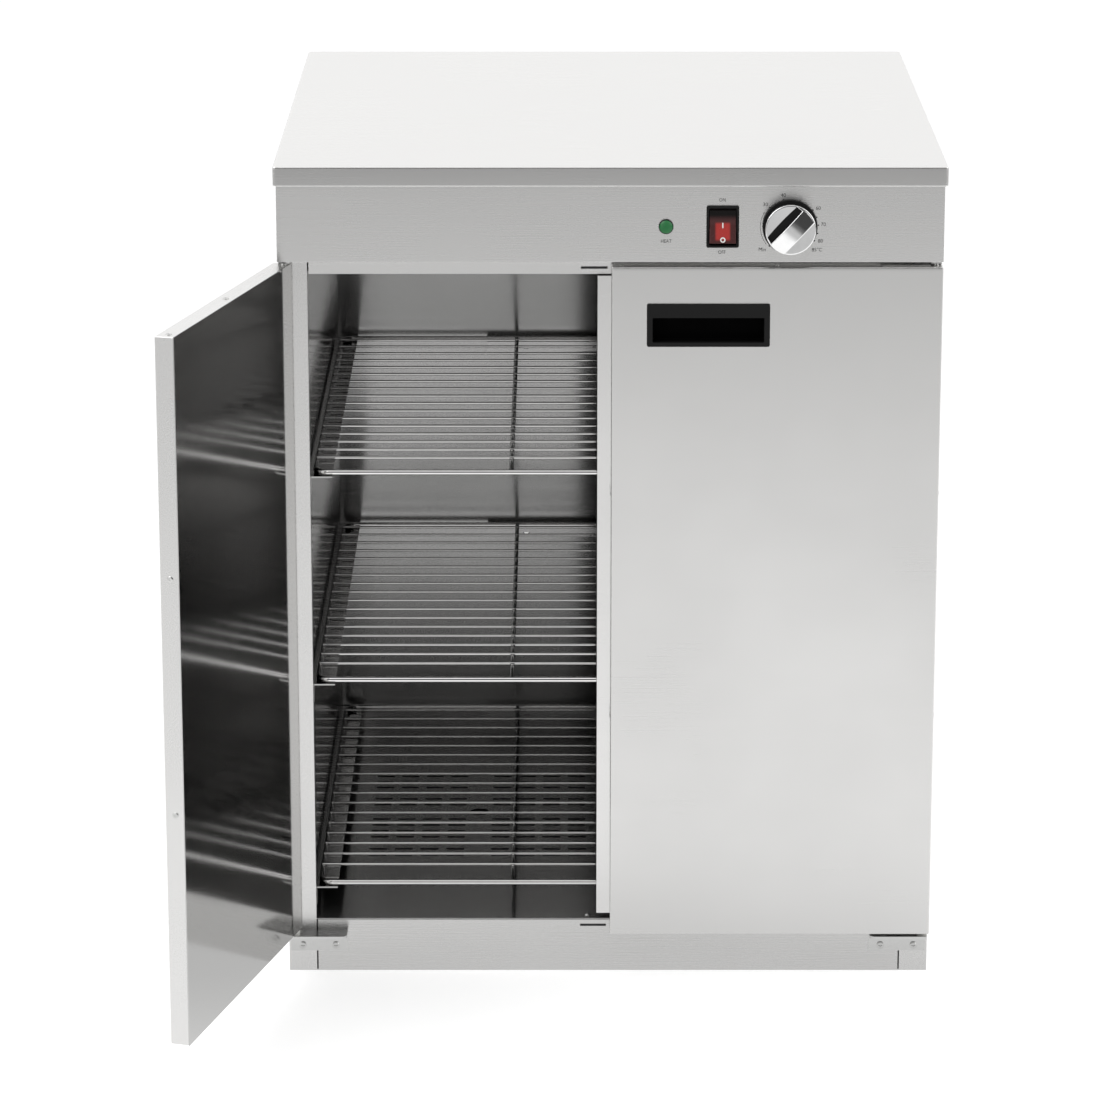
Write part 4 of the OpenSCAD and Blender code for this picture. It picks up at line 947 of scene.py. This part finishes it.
# %% Rocker's slopes
PIVOT_Y, PIVOT_Z = np.array(joints["rocker"]["pos_m"][1:]) / MM
ROCKER_TILT = math.radians(9)
ROCKER_HALF_W, ROCKER_REACH, ROCKER_PROUD = 13.8, 18.0, 6.2
BEND_SOFT, BEND_FULL = 0.1, 0.905


def rocked(points):
    """Turns points drawn level about the pivot, so that the rocker's top is pressed in."""
    return swung(points, (1, 2), (PIVOT_Y, PIVOT_Z), -ROCKER_TILT)


def rocker_front(up):
    """Depth of the level rocker's face: deepest at the pivot's height, rising to both ends in
    proportion to the height's distance from it, softened near the pivot by a square root."""
    rise = math.tan(ROCKER_TILT) * ROCKER_REACH
    bend = np.sqrt((up / ROCKER_REACH) ** 2 + BEND_SOFT ** 2) - BEND_SOFT
    return PIVOT_Y - ROCKER_PROUD + rise / 2 - rise * np.minimum(bend / BEND_FULL, 1.0)


def on_face(x, z, proud):
    """Points at x and z that stand a little proud of the rocker's face."""
    return np.stack([x, rocker_front(z - PIVOT_Z) - proud, z], axis=-1)


# %% Rocker
RIM_LIP, RIM_DROP = np.array([0.0, 0.0, 0.25, 0.9]), np.array([8.2, 0.9, 0.3, 0.0])
SIDE_DROP = 5.0


def rimmed(half, count):
    """Stations from side to side and how far each falls back: even over the face, then round the
    rim and down, as extra rows or columns."""
    flat = np.linspace(2.0 - half, half - 2.0, count)
    return (np.concatenate([RIM_LIP - half, flat, half - RIM_LIP[::-1]]),
            np.concatenate([RIM_DROP, np.zeros(count), RIM_DROP[::-1]]))


across, fall_across = rimmed(ROCKER_HALF_W, 29)
up, fall_up = rimmed(ROCKER_REACH, 37)
grid_across, grid_up = np.meshgrid(across, up, indexing="ij")
fall = np.maximum(fall_across[:, None], fall_up)
depth = np.where(fall > SIDE_DROP, PIVOT_Y + 0.5, rocker_front(grid_up) + fall)
rocker = np.stack([switch_x + grid_across, depth, PIVOT_Z + grid_up], axis=-1)
points, faces = grid_surface(rocker, close_columns=False)
index = np.arange(depth.size).reshape(depth.shape)
back_edge = np.concatenate([index[:, 0], index[-1, 1:], index[-2::-1, -1], index[0, -2:0:-1]])
piece("switch_rocker_moulding", [(points, faces + [tuple(back_edge)])], "rocker",
      finish["rocker_red"], ["switch_rocker"], place=rocked)
print("rocker is", 2 * ROCKER_HALF_W, "by", 2 * ROCKER_REACH, "mm")

# %% Rocker's raised marks
MARK_HEIGHT, MARK_ROOT = 0.35, -0.3


def bar_mark(rectangle, corner):
    """The upright mark: its outline at the face and again a little proud, drawn in."""
    loop = rounded_loop(rectangle, corner, 2)
    centre = loop.mean(axis=0)
    rings = ((1.0, MARK_ROOT), (1.0, MARK_HEIGHT * 0.6), (0.93, MARK_HEIGHT))
    return np.array([on_face(*(centre + (loop - centre) * scale).T, proud)
                     for scale, proud in rings])


def ring_mark(centre_z, outer, inner):
    """The round mark: a flat ring standing on the rocker's face, as four loops joined in turn."""
    across, up = np.cos(full_turn(32)), np.sin(full_turn(32))
    rings = ((outer, MARK_ROOT), (outer, MARK_HEIGHT), (inner, MARK_HEIGHT), (inner, MARK_ROOT))
    return np.array([on_face(switch_x + radius * across, centre_z + radius * up, proud)
                     for radius, proud in rings])


bar = bar_mark((switch_x - 0.7, PIVOT_Z - 2.0, switch_x + 0.7, PIVOT_Z + 3.6), 0.3)
ring = ring_mark(PIVOT_Z - 14.2, 2.8, 1.5)
piece("rocker_marks", [solid(bar), grid_surface(ring, close_rows=True)], "rocker",
      finish["nylon"], place=rocked)
print("marks stand", MARK_HEIGHT, "mm proud")

# %% [markdown]
# The pilot lamp is a green moulded lens in a thin black bezel. Its face is cut into small pyramids
# so that the neon behind it glows evenly. The height of the face is a dome plus two crossed
# triangle waves, worked out on a polar grid.

# %% Lamp bezel
lens_low, lens_high = box_mm("lamp_lens")
bezel_low, bezel_high = box_mm("lamp_bezel")
lamp = middle(lens_low, lens_high)
lens_r = (lens_high[0] - lens_low[0]) / 2
BEZEL_R, SEAT_R, LENS_PLAY, STEM_R, NUT_R = 7.8, 4.5, 0.02, 6.0, 8.5
front, tail = bezel_low[1], bezel_high[1]
seat_y, nut_y, nut_back = panel_y - 0.4, panel_y + 1.2, panel_y + 4.2
bezel_profile = [(SEAT_R, panel_y + 20), (SEAT_R, seat_y), (lens_r + LENS_PLAY, seat_y),
                 (lens_r + LENS_PLAY, front + 0.3), (lens_r + 0.35, front), (BEZEL_R - 0.8, front),
                 (BEZEL_R - 0.2, front + 0.3), (BEZEL_R, front + 0.9), (BEZEL_R, panel_y),
                 (STEM_R, panel_y), (STEM_R, nut_y), (NUT_R, nut_y), (NUT_R, nut_back),
                 (STEM_R, nut_back), (STEM_R, tail), (SEAT_R, tail)]
piece("lamp_bezel_ring", [grid_surface(turned(bezel_profile, lamp), close_rows=True)], "cabinet",
      finish["black_plastic"], ["lamp_bezel"])

# %% Lamp lens
FACE_SHARE, DOME, FACE_DEPTH, LENS_TAIL_R = 0.94, 1.1, 1.5, 4.4
PYRAMID, CUT, FADE = 1.5, 0.182, 0.8


def faceted_lens(rings=30, steps=96):
    """A dome over the lens seat less crossed triangle waves, fading out at the rim."""
    face_r = lens_r * FACE_SHARE
    radius = np.linspace(0.02, 1.0, rings)[:, None] * face_r
    angle = full_turn(steps)
    x, z = radius * np.cos(angle), radius * np.sin(angle)
    waves = sum(np.abs((slant / PYRAMID) % 1.0 - 0.5) * 2 for slant in (x + z, x - z))
    dome = DOME * (1 - (radius / face_r) ** 2)
    fade = np.clip((face_r - radius) / FADE, 0, 1)
    depth = lens_low[1] + FACE_DEPTH - dome - CUT * fade * waves
    shoulder_y = panel_y - 0.45
    skirt = turned([(lens_r, lens_low[1] + 1.9), (lens_r, shoulder_y), (LENS_TAIL_R, shoulder_y),
                    (LENS_TAIL_R, lens_high[1])], lamp, steps)
    return np.concatenate([round_axis(lamp, radius, depth, angle), skirt])


piece("lamp_lens_moulding", [solid(faceted_lens())], "cabinet", finish["lamp_green"],
      ["lamp_lens"], sharp=12)
print("lens is", round(2 * lens_r, 1), "mm across")

# %% [markdown]
# Each shelf is a bent frame rod with cross wires welded on top and two support rods beneath them.
# The rod is a circle carried round a rounded rectangle. The wires are all one array: stations
# along X, sides round the wire, with ends rounded by shrinking the radius. Every crossing gets a
# small flattened weld. The side rods and the support rods are painted dark, a painted shade for
# the dark they mirror; on the side rods a value on each of their points tells the plating.

# %% Rods and welds
UP = np.array([0.0, 0.0, 1.0])
NOSE = np.array([0.35, 0.7, 0.93, 1.0])


def closed_tube(path, radius, sides=14):
    """A circle carried round a closed level path: outwards along the path's normal, and up."""
    ahead = np.roll(path, -1, axis=0) - np.roll(path, 1, axis=0)
    ahead /= np.linalg.norm(ahead, axis=1, keepdims=True)
    outward = np.cross(ahead, UP)[:, None, :]
    angle = full_turn(sides)[:, None]
    return path[:, None, :] + radius * (np.cos(angle) * outward + np.sin(angle) * UP)


def rods(starts, ends, radius, sides=10):
    """Straight rods, all at once: (rods, stations, sides, 3). Each station is a circle square to
    the rod, and its radius shrinks over the ends by the shares in NOSE."""
    starts, span = np.asarray(starts), np.subtract(ends, starts)
    ahead = span / np.linalg.norm(span, axis=1)[:, None]
    size = np.concatenate([NOSE, [1.0], NOSE[::-1]])
    share = np.concatenate([np.zeros(4), [0.5], np.ones(4)])
    round_off = radius * (1 - NOSE) ** 1.5
    along = np.concatenate([round_off, [0.0], -round_off[::-1]])
    centre = (starts[:, None, :] + span[:, None, :] * share[:, None]
              + ahead[:, None, :] * along[:, None])
    angle = full_turn(sides)[:, None]
    circle = np.cos(angle) * np.cross(ahead, UP)[:, None, :] + np.sin(angle) * UP
    return centre[:, :, None, :] + radius * size[:, None, None] * circle[:, None, :, :]


def weld_blobs(places, size, rows=5, sides=8):
    """Flattened balls at the places given, by latitude and longitude: (blobs, rows, sides, 3)."""
    tilt, angle = np.linspace(0.25, math.pi - 0.25, rows)[:, None], full_turn(sides)
    ball = np.stack(np.broadcast_arrays(np.sin(tilt) * np.cos(angle), np.sin(tilt) * np.sin(angle),
                                        np.cos(tilt)), axis=-1)
    return places[:, None, None, :] + ball * size


# %% Wire shelves
ROD_R, WIRE_R, SUPPORT_R = 3.0, 1.5, 2.5
WIRES, FIRST_GAP, WIRE_PITCH = 17, 45.7, 33.87
SUPPORT_X, SUPPORT_RISE, FRAME_BEND = 104.4, 0.5, 14.0
WELD_SIZE, WELD_SINK = (1.9, 2.0, 0.9), 0.2
ROD_SHADE_FADE = 7.0


def wire_shelf(low, high):
    """The wires and welds, and the supports, of one shelf that fills the box given."""
    level = low[2] + ROD_R
    x1, y0, y1 = high[0] - ROD_R, low[1] + ROD_R, high[1] - ROD_R
    ring = rounded_loop((-x1, y0, x1, y1), FRAME_BEND, 8)
    frame_rod = closed_tube(np.column_stack([ring, np.full(len(ring), level)]), ROD_R)
    wire_y = y0 + FIRST_GAP + WIRE_PITCH * np.arange(WIRES)
    ends = np.column_stack([np.full(WIRES, x1 + 1.0), wire_y, np.full(WIRES, high[2] - WIRE_R)])
    wires = rods(ends * [-1, 1, 1], ends, WIRE_R)
    front_ends, back_ends = ([[x, y, level + SUPPORT_RISE] for x in (-SUPPORT_X, SUPPORT_X)]
                             for y in (y0, y1))
    supports = rods(front_ends, back_ends, SUPPORT_R, 12)
    cross_x, cross_y = np.meshgrid([-x1, -SUPPORT_X, SUPPORT_X, x1], wire_y)
    weld_z = np.full(cross_x.size, level + ROD_R - WELD_SINK)
    welds = weld_blobs(np.column_stack([cross_x.ravel(), cross_y.ravel(), weld_z]), WELD_SIZE)
    wired = [grid_surface(frame_rod, close_rows=True)] + [solid(one) for one in (*wires, *welds)]
    return wired, [solid(one) for one in supports]


def shade_side_rods(made, low, high):
    """Marks painted shade on a shelf's side rods, which slide on the runners, and fades it out at
    the corners.
    """
    points = points_mm(made.data)
    side = np.clip((np.abs(points[:, 0]) - (high[0] - FRAME_BEND)) / ROD_SHADE_FADE, 0.0, 1.0)
    mark_points(made, "painted_rod_shade", side * (points[:, 2] < low[2] + 2 * ROD_R + 0.05))


for node in ("upper_shelf", "middle_shelf", "lower_shelf"):
    shelf_box = box_mm(node)
    wires, supports = wire_shelf(*shelf_box)
    shelf = piece(node + "_wires", wires, node, finish["shelf_wire"], [node],
                  sharp=50)
    shade_side_rods(shelf, *shelf_box)
    piece(node + "_supports", supports, node, finish["shaded_shelf_support"], sharp=50)
print("each shelf has", len(shelf.data.polygons), "faces")

# %% [markdown]
# Screw heads are pan heads with a pressed cross. The CAD has them with sharp edges, so a fine
# rounding is enough to make them catch the light.

# %% Screws, pins and small hardware
HARDWARE_ROUNDING = {"hinge_screws": 0.22, "back_panel_screws": 0.22, "chamber_screws": 0.2,
                     "left_door_screws": 0.15, "right_door_screws": 0.15, "hinge_pins": 0.3,
                     "rear_shelf_rests": 0.25, "gland_locknut": 0.3}
for node, width in HARDWARE_ROUNDING.items():
    soft_copy(node, width, 1)
print("rounded hardware:", len(HARDWARE_ROUNDING))

# %% [markdown]
# The supply gland at the back is a hexagonal body with a ribbed dome nut. Its radius is a function
# of the angle and the depth: six flats near the panel, fine ribs on the nut, and a round nose.

# %% Cable gland
GLAND_BORE, GLAND_NOSE, GLAND_RIBS, RIB_SHARE = 4.5, 20.0, 24, 0.035


def gland_grid(steps=144):
    """Rings from the bore outwards and back: each radius times a hexagon, a ribbed circle or a
    plain circle, as a function of the angle."""
    low, high = box_mm("cable_gland")
    inner_end, panel = low[1], high[1] - GLAND_NOSE
    angle = full_turn(steps)
    hexagon = math.cos(math.pi / 6) / np.cos((angle + math.pi / 6) % (math.pi / 3) - math.pi / 6)
    ribs = 1.0 - RIB_SHARE * (0.5 + 0.5 * np.cos(GLAND_RIBS * angle))
    plain = np.ones_like(angle)
    stations = [(GLAND_BORE, inner_end, plain), (7.9, inner_end, plain), (7.9, panel, plain)]
    stations += [(radius, panel + rise, shape) for radius, rise, shape in (
        (11.0, 0.0, plain), (11.0, 3.6, plain), (10.7, 4.0, plain), (10.6, 4.0, hexagon),
        (11.0, 4.4, hexagon), (11.0, 8.2, hexagon), (10.5, 8.8, hexagon), (10.2, 8.8, ribs),
        (10.5, 9.4, ribs), (10.4, 13.0, ribs), (9.6, 15.5, ribs), (8.2, 17.8, plain),
        (6.8, 19.4, plain), (5.6, 20.0, plain), (4.9, 20.0, plain), (GLAND_BORE, 19.6, plain))]
    return np.array([round_axis(middle(low, high), radius * shape, depth, angle)
                     for radius, depth, shape in stations])


piece("cable_gland_moulding", [grid_surface(gland_grid(), close_rows=True)], "cabinet",
      finish["black_plastic"], ["cable_gland"], sharp=28)
print("gland has", GLAND_RIBS, "ribs")

# %% [markdown]
# The fascia's marks are screen printed: a thin film of dark ink. Text objects give the letters, and
# they are turned into meshes with a film's thickness, so that they stand on the steel in any view.

# %% Ink
ink = moulded("screen_ink", (0.008, 0.008, 0.009), 0.55, 0.1, shine=0.1)
FILM, CAPITAL_SHARE = 0.06, 0.72
DIAL_R, ARC_R, DOT_R, ARC_WIDTH = 29.6, 30.8, 0.75, 0.4


def lettering(text, x, z, height, narrow):
    """Text centred on (x, z) on the fascia, its capitals as tall as height and its width drawn in
    by the share given. It is made a mesh before it is placed."""
    curve = bpy.data.curves.new("printed_text", "FONT")
    curve.body = text
    curve.size = height * MM / CAPITAL_SHARE
    curve.align_x, curve.align_y = "CENTER", "CENTER"
    curve.resolution_u = 3
    curve.extrude = FILM * MM / 2
    holder = bpy.data.objects.new("printed_text", curve)
    bpy.context.scene.collection.objects.link(holder)
    bpy.context.view_layer.update()
    depsgraph = bpy.context.evaluated_depsgraph_get()
    flat = bpy.data.meshes.new_from_object(holder.evaluated_get(depsgraph))
    faces = [tuple(face.vertices) for face in flat.polygons]
    across, up, film = points_mm(flat).T
    bpy.data.objects.remove(holder)
    return np.stack([x + narrow * across, panel_y - FILM / 2 - film * 0.98, z + up], axis=-1), faces


def printed_dot(angle):
    """A small disc of ink on the dial's circle at an angle in degrees."""
    x, _, z = round_axis(dial, DIAL_R, 0.0, math.radians(angle))
    return solid(turned([(DOT_R, panel_y), (DOT_R, panel_y - FILM)], (x, z), 16))


def printed_arc(start, stop, steps=40):
    """A thin band of ink about the dial's middle, as four loops of a flat section."""
    angle = np.radians(np.linspace(start, stop, steps))
    inner, outer, film_y = ARC_R - ARC_WIDTH / 2, ARC_R + ARC_WIDTH / 2, panel_y - FILM
    corners = ((inner, panel_y), (outer, panel_y), (outer, film_y), (inner, film_y))
    return solid(np.stack([round_axis(dial, r, y, angle) for r, y in corners], axis=1))


# %% Printed marks
NUMBERS = [("30", 161.2, 859.4), ("40", 179.8, 869.2), ("60", 216.2, 855.5), ("70", 221.8, 838.2),
           ("80", 219.0, 820.6), ("85°C", 215.4, 811.3), ("Min", 158.4, 811.6)]
WORDS = [("HEAT", 58.2, 820.4), ("ON", 116.5, 864.2), ("OFF", 116.3, 808.6)]
DOT_ANGLES = [224.0, 136.0, 103.5, 70.0, 36.5, 19.7, 2.9, -14.0, -30.5]
marks = [lettering(text, x, z, 4.0, 0.95) for text, x, z in NUMBERS]
marks += [printed_dot(angle) for angle in DOT_ANGLES]
marks.append(printed_arc(150, 218))
marks += [lettering(text, x, z, 3.8, 0.86) for text, x, z in WORDS]
piece("printed_marks", marks, "cabinet", ink, sharp=30)
print("printed marks:", len(marks))
